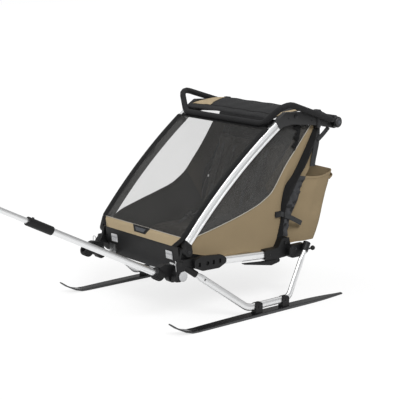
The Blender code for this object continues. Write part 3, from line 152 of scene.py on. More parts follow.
def shade(tone, share=1.0):
    """A colour, given as itself or by its name in the panel, brought down or up."""
    if isinstance(tone, str):
        tone = getattr(bpy.context.scene.trailer_colours, tone)
    return tuple(c * share for c in tone)


def at(x, y, z):
    """A place on the trailer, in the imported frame."""
    return Vector((x, y + ROW_SHIFT, z))


def places(points, side=1):
    """Places on the left side, or their mirror images on the right."""
    return [at(side * x, y, z) for x, y, z in points]


def lerp(low, high, share):
    return low + (high - low) * share


def within(share):
    return min(max(share, 0.0), 1.0)


def hump(share):
    """Rises from 0 to 1 and falls back as a share goes from 0 to 1."""
    return sin(pi * share)


def eased(points, share):
    """The point a share of the way along a smooth route through points."""
    points = [Vector(p) for p in points]
    spans = len(points) - 1
    place = within(share) * spans
    k = min(int(place), spans - 1)
    t = place - k
    before = points[k - 1] if k else points[0] * 2 - points[1]
    after = points[k + 2] if k + 2 <= spans else points[-1] * 2 - points[-2]
    a, b = points[k], points[k + 1]
    return 0.5 * (2 * a + (b - before) * t + (2 * before - 5 * a + 4 * b - after) * t ** 2
                  + (3 * a - before - 3 * b + after) * t ** 3)


def between(low, high, u, v):
    """A point of the surface between two routes: v along them and u from one to the other."""
    return eased(low, v).lerp(eased(high, v), u)


def route_through(points, steps=5):
    count = (len(points) - 1) * steps
    return [eased(points, k / count) for k in range(count + 1)]


def pillar_point(share, lift=0.0):
    """(y, z) on the pillar's bowed centre line, or lifted off it towards its front face."""
    chord = PILLAR_HEAD - PILLAR_FOOT
    normal = Vector((-chord.y, chord.x)).normalized()
    point = PILLAR_FOOT + chord * share + normal * (PILLAR_BOW * 4 * share * (1 - share))
    slope = chord + normal * (PILLAR_BOW * 4 * (1 - 2 * share))
    return point + Vector((-slope.y, slope.x)).normalized() * lift


def pillar_x(share):
    return lerp(PILLAR_FOOT_X, PILLAR_HEAD_X, share)


def wall_x(z):
    """Where a side wall lies at height z: just inside the pillars, which flare outwards."""
    share = within((z - PILLAR_FOOT.y) / (PILLAR_HEAD.y - PILLAR_FOOT.y))
    return pillar_x(share) - PILLAR_WIDTH / 2 - 0.002


def upright_y(z):
    """Where the uprights' centre line lies at height z."""
    route = route_through(UPRIGHT_ROUTE)
    for low, high in zip(route, route[1:]):
        if z <= high.y:
            return lerp(low.x, high.x, max((z - low.y) / (high.y - low.y), 0.0))
    return route[-1].x


def back_face(x, climb, lift):
    """A place on the reclined seat back: climb up its face and lift off its rear."""
    return at(x, BACK_FOOT[0] + climb * cos(BACK_LEAN) - lift * sin(BACK_LEAN),
              BACK_FOOT[1] + climb * sin(BACK_LEAN) + lift * cos(BACK_LEAN))


def arm_at(distance, x=SOCKET_X):
    """A place on the tow arm's centre line."""
    return at(x, ARM_FOOT[0] - distance * cos(ARM_RISE), ARM_FOOT[1] + distance * sin(ARM_RISE))


class Value:
    """A shader socket that takes part in arithmetic."""

    def __init__(self, graph, socket):
        self.graph, self.socket = graph, socket

    def __add__(self, other):
        return self.graph.work("ADD", self, other)

    def __sub__(self, other):
        return self.graph.work("SUBTRACT", self, other)

    def __rsub__(self, other):
        return self.graph.work("SUBTRACT", other, self)

    def __mul__(self, other):
        return self.graph.work("MULTIPLY", self, other)

    __radd__, __rmul__ = __add__, __mul__


class Graph:
    """A node tree whose nodes are written as expressions."""

    def __init__(self, tree):
        self.tree = tree

    def node(self, kind, settings=None, values=None, out=0):
        """Adds a node of a kind, with its settings and the values or links of its sockets."""
        made = self.tree.nodes.new("ShaderNode" + kind)
        for setting, value in (settings or {}).items():
            setattr(made, setting, value)
        for socket, value in (values or {}).items():
            if isinstance(value, Value):
                self.tree.links.new(value.socket, made.inputs[socket])
            else:
                made.inputs[socket].default_value = value
        return Value(self, made.outputs[out])

    def work(self, operation, *values):
        return self.node("Math", {"operation": operation}, dict(enumerate(values)))

    def ray(self, kind):
        return self.node("LightPath", out=f"Is {kind} Ray")

    def part(self, vector, axis):
        return self.node("SeparateXYZ", {}, {0: vector}, axis)

    def ranged(self, value, low, high):
        """Maps low to high onto 0 to 1, held at both ends."""
        return self.node("MapRange", {}, {0: value, 1: low, 2: high, 3: 0.0, 4: 1.0})


class Surface(Graph):
    """A Principled material."""

    def __init__(self, name, tone, roughness, metallic=0.0, **constants):
        self.material = bpy.data.materials.new(name)
        self.material.use_nodes = True
        super().__init__(self.material.node_tree)
        self.shader = self.tree.nodes["Principled BSDF"]
        constants.update(Base_Color=(*tone, 1.0), Roughness=roughness, Metallic=metallic)
        for socket, value in constants.items():
            self.shader.inputs[socket.replace("_", " ")].default_value = value
        self.material.diffuse_color = (*tone, 1.0)

    def feed(self, socket, value):
        self.tree.links.new(value.socket, self.shader.inputs[socket])

    def place(self):
        return self.node("TexCoord", out="Object")

    def cloth_place(self):
        return self.node("UVMap", {"uv_map": "UVMap"})

    def stretched(self, place, scale):
        return self.node("Mapping", {}, {"Vector": place, "Scale": scale})

    def noise(self, place, scale, detail=2.0, roughness=0.5):
        return self.node("TexNoise", {}, {"Vector": place, "Scale": scale, "Detail": detail, "Roughness": roughness})

    def cells(self, place, scale, feature, **values):
        return self.node("TexVoronoi", {"feature": feature}, {"Vector": place, "Scale": scale, **values})

    def mix(self, share, low, high):
        """A colour between two, each of them a colour or a link."""
        low, high = (c if isinstance(c, Value) else (*c, 1.0) for c in (low, high))
        return self.node("Mix", {"data_type": "RGBA"}, {0: share, 6: low, 7: high}, 2)

    def finished(self, share, low, high, roughness, height, distance, strength):
        """Links the colour between low and high, the roughness and the relief."""
        self.feed("Base Color", self.mix(share, low, high))
        self.feed("Roughness", roughness)
        self.relief(height, distance, strength)
        return self

    def relief(self, height, distance, strength):
        self.feed("Normal", self.node("Bump", {}, {"Height": height, "Distance": distance, "Strength": strength}))


def aluminium_finish(name="satin_aluminium", tone=1.0, haze=0.0):
    """Satin anodised tube with a faint drawn grain along the trailer."""
    silver = shade("silver", tone)
    surface = Surface(name, silver, 0.3, 1.0)
    place = surface.place()
    grain = surface.noise(surface.stretched(place, (900.0, 14.0, 900.0)), 1.0, 3.0)
    cloud = surface.noise(place, 9.0)
    surface.feed("Roughness", 0.24 + haze + grain * 0.1 + cloud * 0.05)
    surface.feed("Base Color", surface.mix(cloud * 0.5 + grain * 0.3, silver, shade(silver, 0.88)))
    if not haze:
        surface.relief(grain, 0.00004, 0.6)
    return surface


def plastic_finish(name="moulded_plastic", tone="plastic", roughness=0.46):
    """Spark-textured moulding, a little greyer where hands and snow rub it."""
    tone = shade(tone)
    surface = Surface(name, tone, roughness, Specular_IOR_Level=0.28)
    place = surface.place()
    pits = surface.noise(place, 1400.0, 2.0, 0.6)
    rub = surface.noise(place, 22.0, 4.0, 0.65)
    return surface.finished(rub * 0.7, shade(tone, 0.75), [c * 1.6 + 0.002 for c in tone],
                            roughness - 0.1 + rub * 0.22 + pits * 0.04, pits, 0.00012, 0.5)


def powder_finish():
    """Black powder coat with a slight orange peel."""
    surface = Surface("powder_coat", (0.01, 0.01, 0.01), 0.38, Specular_IOR_Level=0.35)
    place = surface.place()
    peel = surface.noise(place, 420.0)
    return surface.finished(surface.noise(place, 15.0), (0.008, 0.008, 0.008), (0.014, 0.014, 0.015),
                            0.32 + peel * 0.14, peel, 0.0001, 0.5)


def foam_finish():
    """Closed-cell foam with fine open pores and a faint moulded grain."""
    surface = Surface("grip_foam", (0.013, 0.013, 0.014), 0.72, Specular_IOR_Level=0.25)
    place = surface.place()
    pores = surface.cells(place, 900.0, "DISTANCE_TO_EDGE")
    cloud = surface.noise(place, 30.0, 3.0)
    return surface.finished(cloud, (0.01, 0.01, 0.011), (0.018, 0.018, 0.019), 0.64 + cloud * 0.16,
                            pores, 0.00025, 0.7)


def ski_finish():
    """Moulded ski: glossy black on top and a scuffed grey along its sides and sole."""
    surface = Surface("ski_plastic", (0.01, 0.01, 0.01), 0.3, Specular_IOR_Level=0.35)
    place = surface.place()
    up = surface.part(surface.node("NewGeometry", out="Normal"), 2)
    scuff = surface.noise(surface.stretched(place, (60.0, 9.0, 60.0)), 1.0, 5.0, 0.6)
    side = surface.ranged(up, 0.75, 0.35)
    return surface.finished(side, (0.007, 0.007, 0.008),
                            surface.mix(scuff, (0.04, 0.041, 0.043), (0.09, 0.091, 0.094)),
                            0.2 + side * 0.22 + scuff * 0.12, scuff, 0.0001, 0.5)


def weave(surface, place, pitch):
    """Height of a plain weave: warp and weft take turns on top."""
    across, along = (surface.part(place, axis) * (1.0 / pitch) for axis in (0, 1))
    turn = surface.work("FLOORED_MODULO", surface.work("FLOOR", across) + surface.work("FLOOR", along), 2.0)
    warp, weft = (surface.work("ABSOLUTE", surface.work("SINE", thread * pi)) for thread in (across, along))
    return turn * warp + (1.0 - turn) * weft


def fabric_finish(name, tone, share=1.0, pitch=0.0011, roughness=0.82):
    """Coated woven cloth: threads, soft mottling, the gaps between threads painted darker as shade, and creases that
    catch less light.
    """
    tone = shade(tone, share)
    surface = Surface(name, tone, roughness, Sheen_Weight=0.02, Specular_IOR_Level=0.18)
    place = surface.place()
    threads = weave(surface, surface.cloth_place(), pitch)
    cloud = surface.noise(place, 7.0, 4.0, 0.6)
    fleck = surface.noise(place, 160.0)
    # Painted shade: the colour darkens where the weave's relief is low, in the gaps between threads.
    return surface.finished(cloud * 0.24 + fleck * 0.16 + (1.0 - threads) * 0.18,
                            [min(c * 1.1, 1.0) for c in tone], shade(tone, 0.62), roughness - 0.06 + threads * 0.08,
                            threads + surface.noise(place, 48.0, 3.0) * 2.5, 0.0005, 0.55)


def webbing_finish(name, share=1.0):
    """Ribbed strap with a herringbone of fine ribs along it, painted lighter on their crests and darker in their
    troughs as light and shade.
    """
    tone = shade("webbing", share)
    surface = Surface(name, tone, 0.66, Specular_IOR_Level=0.22)
    place = surface.cloth_place()
    across, along = surface.part(place, 0), surface.part(place, 1)
    ribs = surface.work("SINE", (along + surface.work("PINGPONG", across, 0.004)) * (2 * pi / 0.002))
    # Painted light and shade: the colour follows the ribs' height, lighter on crests and darker in troughs.
    return surface.finished(ribs * 0.25 + 0.5, shade(tone, 0.7), shade(tone, 1.25), 0.62 + ribs * 0.06,
                            ribs, 0.0003, 0.5)


def mesh_finish(name="window_mesh", share=1.0):
    """Knitted window mesh: mostly open, with threads round small round holes."""
    tone = shade("mesh", share)
    surface = Surface(name, tone, 0.8, Specular_IOR_Level=0.1)
    threads = surface.ranged(surface.cells(surface.cloth_place(), 620.0, "F1", Randomness=0.15), 0.3, 0.52)
    cloud = surface.noise(surface.place(), 6.0)
    surface.feed("Base Color", surface.mix(cloud, shade(tone, 0.85), shade(tone, 1.2)))
    surface.feed("Alpha", 0.13 + threads * 0.14 + cloud * 0.04)
    surface.relief(threads, 0.0002, 0.4)
    return surface


def reflector_finish():
    """Clear lens over small corner prisms."""
    surface = Surface("reflector_lens", (0.8, 0.81, 0.82), 0.12, Coat_Weight=0.6)
    prisms = surface.cells(surface.place(), 260.0, "DISTANCE_TO_EDGE", Randomness=0.0)
    return surface.finished(surface.ranged(prisms, 0.0, 0.2), (0.42, 0.43, 0.45), (0.9, 0.9, 0.91),
                            0.08 + prisms * 0.3, prisms, 0.0006, 0.6)


def plain_finish(name, tone, roughness, metallic=0.0):
    """A small part's finish, mottled so that it isn't flat."""
    tone = shade(tone)
    surface = Surface(name, tone, roughness, metallic)
    cloud = surface.noise(surface.place(), 90.0, 3.0)
    return surface.finished(cloud, shade(tone, 0.82), tone, roughness - 0.05 + cloud * 0.12, cloud, 0.0001, 0.4)


# Each finish: its material slot, the function that makes it and what that is given.
# The first one of a slot also goes on the frame's own parts.
FINISHES = {
    "aluminium": ("silver", aluminium_finish),
    "plastic": ("black_plastic", plastic_finish),
    "powder": ("black_metal", powder_finish),
    "foam": ("foam", foam_finish),
    "ski": ("ski_base", ski_finish),
    "tan": ("tan_fabric", fabric_finish, "tan_cloth", "tan"),
    "sand": ("tan_fabric", fabric_finish, "nose_band_cloth", "sand"),
    "black": ("black_fabric", fabric_finish, "black_cloth", "black", 1.0, 0.0012),
    "roof": ("black_fabric", fabric_finish, "roof_cloth", "black", 2.1, 0.0012),
    "harness": ("black_fabric", webbing_finish, "harness_webbing", 0.35),
    "grey": ("black_fabric", fabric_finish, "charcoal_cloth", (0.062, 0.063, 0.067), 1.0, 0.0014),
    "lining": ("black_fabric", fabric_finish, "dark_lining", (0.012, 0.0115, 0.01), 1.0, 0.0012),
    "brown": ("tan_fabric", fabric_finish, "brown_lining", (0.03, 0.024, 0.015), 1.0, 0.0012),
    "label": ("black_fabric", fabric_finish, "bare_label", (0.75, 0.75, 0.74), 1.0, 0.0008),
    "seat": ("seat_fabric", fabric_finish, "seat_cloth", "seat", 1.0, 0.0013, 0.9),
    "mesh": ("mesh_fabric", mesh_finish),
    "side_mesh": ("mesh_fabric", mesh_finish, "side_window_mesh", 1.85),
    "webbing": ("black_fabric", webbing_finish, "webbing"),
    "reflector": ("reflector", reflector_finish),
    "piping": ("tan_fabric", plain_finish, "piping_cord", "piping", 0.6),
    "steel": ("silver", plain_finish, "fastener_steel", (0.62, 0.62, 0.63), 0.28, 1.0),
    "dark_steel": ("black_metal", plain_finish, "black_fastener", (0.03, 0.03, 0.032), 0.34, 0.3),
    "pale_plastic": ("reflector", plain_finish, "pale_washer", (0.7, 0.71, 0.72), 0.35),
    "clamp": ("black_plastic", plastic_finish, "clamp_plastic", (0.022, 0.022, 0.024), 0.36),
    "bracket": ("black_plastic", plastic_finish, "bracket_plastic", (0.029, 0.029, 0.03), 0.4),
    "hub": ("black_plastic", plastic_finish, "hub_plastic", (0.046, 0.046, 0.048), 0.42),
    "ski_tube": ("silver", aluminium_finish, "ski_tube_aluminium", 0.96, 0.1),
    "grey_plate": ("black_plastic", plain_finish, "bare_badge", (0.075, 0.082, 0.094), 0.35),
}
MADE = {}


def finish(name):
    """The named finish's material, made the first time it is asked for."""
    if name not in MADE:
        _, maker, *given = FINISHES[name]
        MADE[name] = maker(*given).material
    return MADE[name]


def laid_out(columns, rows, rule, close=False):
    """A sheet of quads whose corners a rule places, with its map in metres."""
    bm = bmesh.new()
    bmesh.ops.create_grid(bm, x_segments=columns, y_segments=rows, size=0.5)
    reach = max(vert.co.x for vert in bm.verts)
    spots = {vert: (vert.co.x / (2 * reach) + 0.5, vert.co.y / (2 * reach) + 0.5) for vert in bm.verts}
    for vert, (u, v) in spots.items():
        vert.co = rule(u, v)
    width = sum((rule((k + 1) / 8, 0.5) - rule(k / 8, 0.5)).length for k in range(8))
    height = sum((rule(0.5, (k + 1) / 8) - rule(0.5, k / 8)).length for k in range(8))
    layer = bm.loops.layers.uv.new("UVMap")
    for face in bm.faces:
        for loop in face.loops:
            u, v = spots[loop.vert]
            loop[layer].uv = (u * width, v * height)
    if close:
        bmesh.ops.remove_doubles(bm, verts=bm.verts, dist=MERGE)
    bmesh.ops.recalc_face_normals(bm, faces=bm.faces)
    return bm


def thickened(bm, thickness):
    """Gives a sheet its thickness, with its outer face left where it is."""
    bm.normal_update()
    bmesh.ops.solidify(bm, geom=bm.verts[:] + bm.edges[:] + bm.faces[:], thickness=thickness)
    bmesh.ops.recalc_face_normals(bm, faces=bm.faces)
    return bm


def as_mesh(name, bm):
    mesh = bpy.data.meshes.new(name)
    bm.to_mesh(mesh)
    bm.free()
    return mesh


def linked(name, data):
    """An object of the scene that shows some data."""
    obj = bpy.data.objects.new(name, data)
    bpy.context.scene.collection.objects.link(obj)
    return obj


def piece(name, bm, look, body="base", smooth=50.0, replaces=()):
    """Makes a finished mesh a piece of the trailer that rides on a body, if one is given."""
    mesh = as_mesh(name, bm)
    mesh.shade_smooth()
    mesh.set_sharp_from_angle(angle=radians(smooth))
    mesh.materials.append(finish(look))
    obj = linked(name, mesh)
    if body:
        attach(obj, body)
    if replaces:
        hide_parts(*replaces)
    return obj


def cloth(name, grid, rule, look, rests_on, body="base", thickness=0.0022, replaces=(), held="stretched",
          close=False):
    """A sewn sheet, given its thickness."""
    bm = laid_out(*grid, rule, close)
    area = sum(face.calc_area() for face in bm.faces)
    layer = bm.loops.layers.uv.active
    width, height = (max(loop[layer].uv[axis] for face in bm.faces for loop in face.loops) for axis in (0, 1))
    stretch = max(1.0, sqrt(area / (width * height)) * 1.0005)
    if thickness:
        thickened(bm, thickness)
    obj = piece(name, bm, look, body, 60.0, replaces)
    width * stretch
    height * stretch
    return obj


def crumples(*objects):
    """Gives each piece of the carriage's fabric its own copy of its mesh."""
    for obj in objects:
        at(0, 0, FOLD_LEVEL)
        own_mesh(obj)


def closes_up(*objects):
    """Gives each piece of fabric behind the uprights its own copy of its mesh."""
    for obj in objects:
        at(0, 0.845, 0.48)
        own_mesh(obj)


def ripple(spot, depth, scale=1.0):
    """A small seeded unevenness at a place."""
    return noise.noise(Vector(spot) * scale) * depth


def turned_to(axis):
    """The turn that brings Z to an axis."""
    return Vector((0, 0, 1)).rotation_difference(Vector(axis)).to_matrix().to_4x4()


def frames_along(route):
    """A matrix at each point of a route, turned as little as possible from the one before."""
    route = [Vector(p) for p in route]
    steps = [(b - a).normalized() for a, b in zip(route, route[1:])]
    tangents = [steps[0]] + [(a + b).normalized() for a, b in zip(steps, steps[1:])] + [steps[-1]]
    start = Vector((1, 0, 0)) if abs(tangents[0].x) < 0.9 else Vector((0, 1, 0))
    side = (start - tangents[0] * start.dot(tangents[0])).normalized()
    made = []
    for index, point in enumerate(route):
        if index:
            side = tangents[index - 1].rotation_difference(tangents[index]) @ side
        up = tangents[index].cross(side)
        turn = Matrix((side, up, tangents[index])).transposed().to_4x4()
        made.append(Matrix.Translation(point) @ turn)
    return made


def drawn_along(route, outline, bm=None, scales=None):
    """A closed bar: an outline of (across, up) points extruded along a route, stretched by a scale at each point."""
    bm = bm or bmesh.new()
    steps = frames_along(route)
    if scales:
        steps = [step @ Matrix.Diagonal((*scale, 1.0, 1.0)) for step, scale in zip(steps, scales)]
    ring = [bm.verts.new((a, b, 0)) for a, b in outline]
    face = bm.faces.new(ring)
    bmesh.ops.transform(bm, matrix=steps[0], verts=ring)
    for before, after in zip(steps, steps[1:]):
        made = bmesh.ops.extrude_face_region(bm, geom=[face])["geom"]
        face = next(item for item in made if isinstance(item, bmesh.types.BMFace))
        bmesh.ops.transform(bm, matrix=after @ before.inverted(), verts=face.verts)
    bmesh.ops.recalc_face_normals(bm, faces=bm.faces)
    return bm


def rounded_route(points, radius, steps=8):
    """A route with its inner corners turned into arcs."""
    points = [Vector(p) for p in points]
    route = [points[0]]
    for before, corner, after in zip(points, points[1:], points[2:]):
        inward, outward = (before - corner).normalized(), (after - corner).normalized()
        half = inward.angle(outward) / 2
        reach = radius / tan(half)
        centre = corner + (inward + outward).normalized() * (radius / sin(half))
        first, last = corner + inward * reach - centre, corner + outward * reach - centre
        angle = first.angle(last)
        for step in range(steps + 1):
            share = step / steps
            route.append(centre + (first * sin((1 - share) * angle) + last * sin(share * angle)) / sin(angle))
    return route + [points[-1]]


def round_outline(radius, sides):
    return [(radius * cos(2 * pi * k / sides), radius * sin(2 * pi * k / sides)) for k in range(sides)]


def bar(name, route, radius, look, body="base", sides=8):
    """A round cord, seam or wire along a route."""
    return piece(name, drawn_along(route, round_outline(radius, sides)), look, body)


def strap(name, points, width, facing, body, look="webbing", slot=None, thickness=0.0016, steps=5, crown=0.0):
    """A flat strap along a route, its face turned towards a direction."""
    facing = Vector(facing)

    def rule(u, v):
        tangent = (eased(points, min(v + 0.01, 1.0)) - eased(points, max(v - 0.01, 0.0))).normalized()
        side = tangent.cross(facing).normalized()
        lift = side.cross(tangent).normalized() * crown * (1 - (2 * u - 1) ** 2)
        return eased(points, v) + side * (u - 0.5) * width + lift

    bm = thickened(laid_out(4, (len(points) - 1) * steps, rule), thickness)
    return piece(name, bm, look, body, 40.0)


def turned(profile, base, side, steps=20, bm=None):
    """A solid of revolution about X, from a profile of (radius, distance outwards) points."""
    bm = bm or bmesh.new()
    others = set(bm.verts)
    verts = [bm.verts.new((radius, 0, height)) for radius, height in profile]
    edges = [bm.edges.new(ends) for ends in zip(verts, verts[1:])]
    bmesh.ops.spin(bm, geom=verts + edges, cent=(0, 0, 0), axis=(0, 0, 1), dvec=(0, 0, 0), angle=2 * pi,
                   steps=steps, use_merge=True)
    whole = [vert for vert in bm.verts if vert not in others]
    bmesh.ops.transform(bm, matrix=Matrix.Translation(base) @ turned_to((side, 0, 0)), verts=whole)
    bmesh.ops.remove_doubles(bm, verts=whole, dist=MERGE)
    bmesh.ops.recalc_face_normals(bm, faces=bm.faces)
    return bm


def add_screw(bm, centre, side, radius, height):
    """A round-headed screw with a hexagonal socket, pointing outwards along X."""
    axis = Vector((side, 0, 0))
    made = bmesh.ops.create_cone(bm, cap_ends=True, segments=18, radius1=radius, radius2=radius * 0.82, depth=height,
                                 matrix=Matrix.Translation(centre + axis * height / 2) @ turned_to(axis))
    faces = {face for vert in made["verts"] for face in vert.link_faces}
    top = max(faces, key=lambda face: face.calc_center_median().dot(axis))
    bmesh.ops.inset_individual(bm, faces=[top], thickness=radius * 0.38)
    socket = bmesh.ops.extrude_face_region(bm, geom=[top])["geom"]
    bmesh.ops.translate(bm, verts=[item for item in socket if isinstance(item, bmesh.types.BMVert)],
                        vec=-axis * height * 0.6)
    bmesh.ops.delete(bm, geom=[top] if top.is_valid else [], context="FACES_ONLY")


def add_box(bm, low, high, corner, segments=2):
    """A box between two corners with rounded edges, added to a mesh."""
    made = bmesh.ops.create_cube(bm, size=1.0, matrix=Matrix.Translation((low + high) / 2)
                                 @ Matrix.Diagonal((*(high - low), 1.0)))
    edges = {edge for vert in made["verts"] for edge in vert.link_edges}
    bmesh.ops.bevel(bm, geom=list(edges), offset=corner, segments=segments, affect="EDGES", profile=0.5,
                    material=-1)
    return bm


def both_sides(name, build, look, body, smooth, replaces):
    """A left piece and its mirror image on the right, drawn in place of a pair of frame parts."""
    for side, word in SIDES:
        bm = build()
        if side < 0:
            bmesh.ops.scale(bm, vec=(-1, 1, 1), verts=bm.verts)
            bmesh.ops.reverse_faces(bm, faces=bm.faces)
        piece(f"{name}_{word}", bm, look, body, smooth, [f"{replaces}_{word}"])


class Stage(bpy.types.Operator):
    """Sets up the floor, the light and the camera"""

    bl_idname = "trailer.stage"
    bl_label = "Stage"

    def execute(self, context):
        scene = context.scene
        scene.view_settings.view_transform = "Standard"
        self.floor()
        self.sky(scene)
        for name, strength, angle, turn in SUNS:
            lamp = bpy.data.lights.new(name, "SUN")
            lamp.energy = strength
            lamp.angle = radians(angle)
            linked(name, lamp).rotation_euler = [radians(a) for a in turn]
        self.camera(scene)
        return {"FINISHED"}

    def floor(self):
        bm = bmesh.new()
        bmesh.ops.create_grid(bm, x_segments=2, y_segments=2, size=30.0)
        floor = linked("snow_floor", as_mesh("snow_floor", bm))
        surface = Surface("floor_white", (0.27, 0.27, 0.27), 0.9, Specular_IOR_Level=0.0, Emission_Color=(1, 1, 1, 1))
        surface.feed("Emission Strength",
                     (surface.ray("Camera") + surface.ray("Glossy") + surface.ray("Transmission")) * 0.77)
        floor.data.materials.append(surface.material)

    def sky(self, scene):
        """White to the camera, and dimmer near the horizon in what mirrors it."""
        scene.world = world = bpy.data.worlds.new("studio")
        world.use_nodes = True
        graph = Graph(world.node_tree)
        background = world.node_tree.nodes["Background"]
        background.inputs["Color"].default_value = (1, 1, 1, 1)
        seen = graph.ray("Camera") + graph.ray("Transmission")
        mirrored = graph.ray("Glossy")
        height = graph.part(graph.node("TexCoord", out="Generated"), 2)
        dim = graph.ranged(height, 0.02, 0.1) * graph.ranged(height, 0.75, 0.45)
        strength = seen + mirrored * (1.0 - dim * 0.62) + (1.0 - seen - mirrored) * 0.5
        world.node_tree.links.new(strength.socket, background.inputs["Strength"])

    def camera(self, scene):
        back = Vector((sin(CAMERA_TURN) * cos(CAMERA_TILT), -cos(CAMERA_TURN) * cos(CAMERA_TILT), sin(CAMERA_TILT)))
        right = Vector((cos(CAMERA_TURN), sin(CAMERA_TURN), 0.0))
        lens = bpy.data.cameras.new("camera")
        lens.sensor_width = SENSOR
        lens.lens = FOCAL_SHARE * SENSOR
        lens.clip_end = 200.0
        scene.camera = linked("camera", lens)
        scene.camera.matrix_world = (Matrix.Translation(at(*CAMERA_PLACE))
                                     @ Matrix((right, back.cross(right), back)).transposed().to_4x4())


class FrameFinishes(bpy.types.Operator):
    """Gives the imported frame's own parts their finishes"""

    bl_idname = "trailer.frame_finishes"
    bl_label = "Frame finishes"

    def execute(self, context):
        by_slot = {slot: name for name, (slot, *_) in reversed(FINISHES.items())}
        special = {f"{part}_{word}": name for _, word in SIDES for part, name in
                   (("roof_bracket", "bracket"), ("hub_button", "hub"), ("ski_tube", "ski_tube"))}
        slots = {part["node"]: part["material_slot"] for part in frame["record"]["subparts"]}
        for name, obj in frame["nodes"].items():
            for slot in obj.material_slots:
                slot.material = finish(special.get(name, by_slot[slots[name]]))
        return {"FINISHED"}


class Pillars(bpy.types.Operator):
    """Draws the pillars as channelled aluminium extrusions with a cap and a cloth binding"""

    bl_idname = "trailer.pillars"
    bl_label = "Pillars"

    def execute(self, context):
        outline = self.outline()
        route = [at(pillar_x(k / 12), *pillar_point(k / 12)) for k in range(13)]
        both_sides("pillar_extrusion", lambda: drawn_along(route, outline), "aluminium", "upper_frame", 30.0, "pillar")
        for side, word in SIDES:
            cap = [at(side * pillar_x(k), *pillar_point(k)) for k in (0.972, 0.986, 1.0, 1.004)]
            grown = [(a + copysign(0.0016, a), b + copysign(0.0016, b)) for a, b in outline[:10] + outline[14:24]]
            piece(f"pillar_cap_{word}", drawn_along(cap, grown), "bracket", "upper_frame", 30.0)
            inner = [at(side * (pillar_x(k / 12) - PILLAR_WIDTH / 2 - 0.0006), *pillar_point(k / 12, 0.0005))
                     for k in (0.2, *range(1, 12))]
            strap(f"pillar_binding_{word}", inner, 0.048, (-side, 0, 0), "upper_frame", "black", steps=2,
                  thickness=0.0008)
        return {"FINISHED"}

    def outline(self):
        """Rounded rectangle with a shallow channel in its inner face and two in its outer face."""
        half_width, half_depth, corner = PILLAR_WIDTH / 2, PILLAR_DEPTH / 2, PILLAR_CORNER
        outer = ((-0.7, 0.0), (-0.44, 0.0), (-0.42, 0.003), (-0.34, 0.003), (-0.32, 0.0), (-0.12, 0.0),
                 (-0.1, 0.0052), (0.44, 0.0006), (0.46, 0.0), (0.7, 0.0))
        inner = ((0.6, 0.0), (0.55, 0.0016), (-0.55, 0.0016), (-0.6, 0.0))
        channels = {1: (inner, -1), 3: (outer, 1)}
        outline = []
        for quarter, (a, b) in enumerate(((1, 1), (-1, 1), (-1, -1), (1, -1))):
            for step in range(5):
                angle = pi / 2 * (quarter + step / 4)
                outline.append((a * (half_width - corner) + corner * cos(angle),
                                b * (half_depth - corner) + corner * sin(angle)))
            face, outward = channels.get(quarter, ((), 1))
            outline += [(outward * (half_width - depth), share * half_depth) for share, depth in face]
        return outline


class SkiTubes(bpy.types.Operator):
    """Draws the ski tubes as oval aluminium tubes, round again where they enter sleeve and axle block"""

    bl_idname = "trailer.ski_tubes"
    bl_label = "Ski tubes"

    def execute(self, context):
        corners = rounded_route(SKI_TUBE_CORNERS, SKI_TUBE_BEND)
        start, end = (corners[1] - corners[0]).normalized(), (corners[-1] - corners[-2]).normalized()
        route = [corners[0], corners[0] + start * 0.03, corners[0] + start * 0.062, *corners[1:-1],
                 corners[-1] - end * 0.1, corners[-1] - end * 0.06, corners[-1]]
        scales = [SKI_TUBE_ROUND] * 2 + [SKI_TUBE_OVAL] * (len(route) - 4) + [SKI_TUBE_ROUND] * 2
        both_sides("ski_tube_profile", lambda: drawn_along(places(route), round_outline(1.0, 24), scales=scales),
                   "ski_tube", "base", 40.0, "ski_tube")
        spot = corners[0] + start * 0.082
        for side, word in SIDES:
            plug = turned([(0.0, 0.0), (0.0068, 0.0), (0.0062, 0.0014), (0.0, 0.0016)],
                          at(side * (spot.x + 0.0102), spot.y, spot.z), side)
            piece(f"ski_tube_plug_{word}", plug, "dark_steel")
        return {"FINISHED"}


def cover_place(across, share, lift=0.0, inset=0.0):
    """A place on the front cover: across from -1 to 1, share up the pillars, negative on its nose."""
    half = pillar_x(max(share, 0.0)) + PILLAR_WIDTH / 2
    y, z = pillar_point(max(share, 0.0), COVER_LIFT + lift)
    if share < 0:
        blend = min(-share / NOSE_SHARE, 1.0)
        half, y, z = lerp(half, NOSE_HALF, blend), lerp(y, COVER_NOSE.x, blend), lerp(z, COVER_NOSE.y, blend)
    return at(across * (half - inset), y, z)


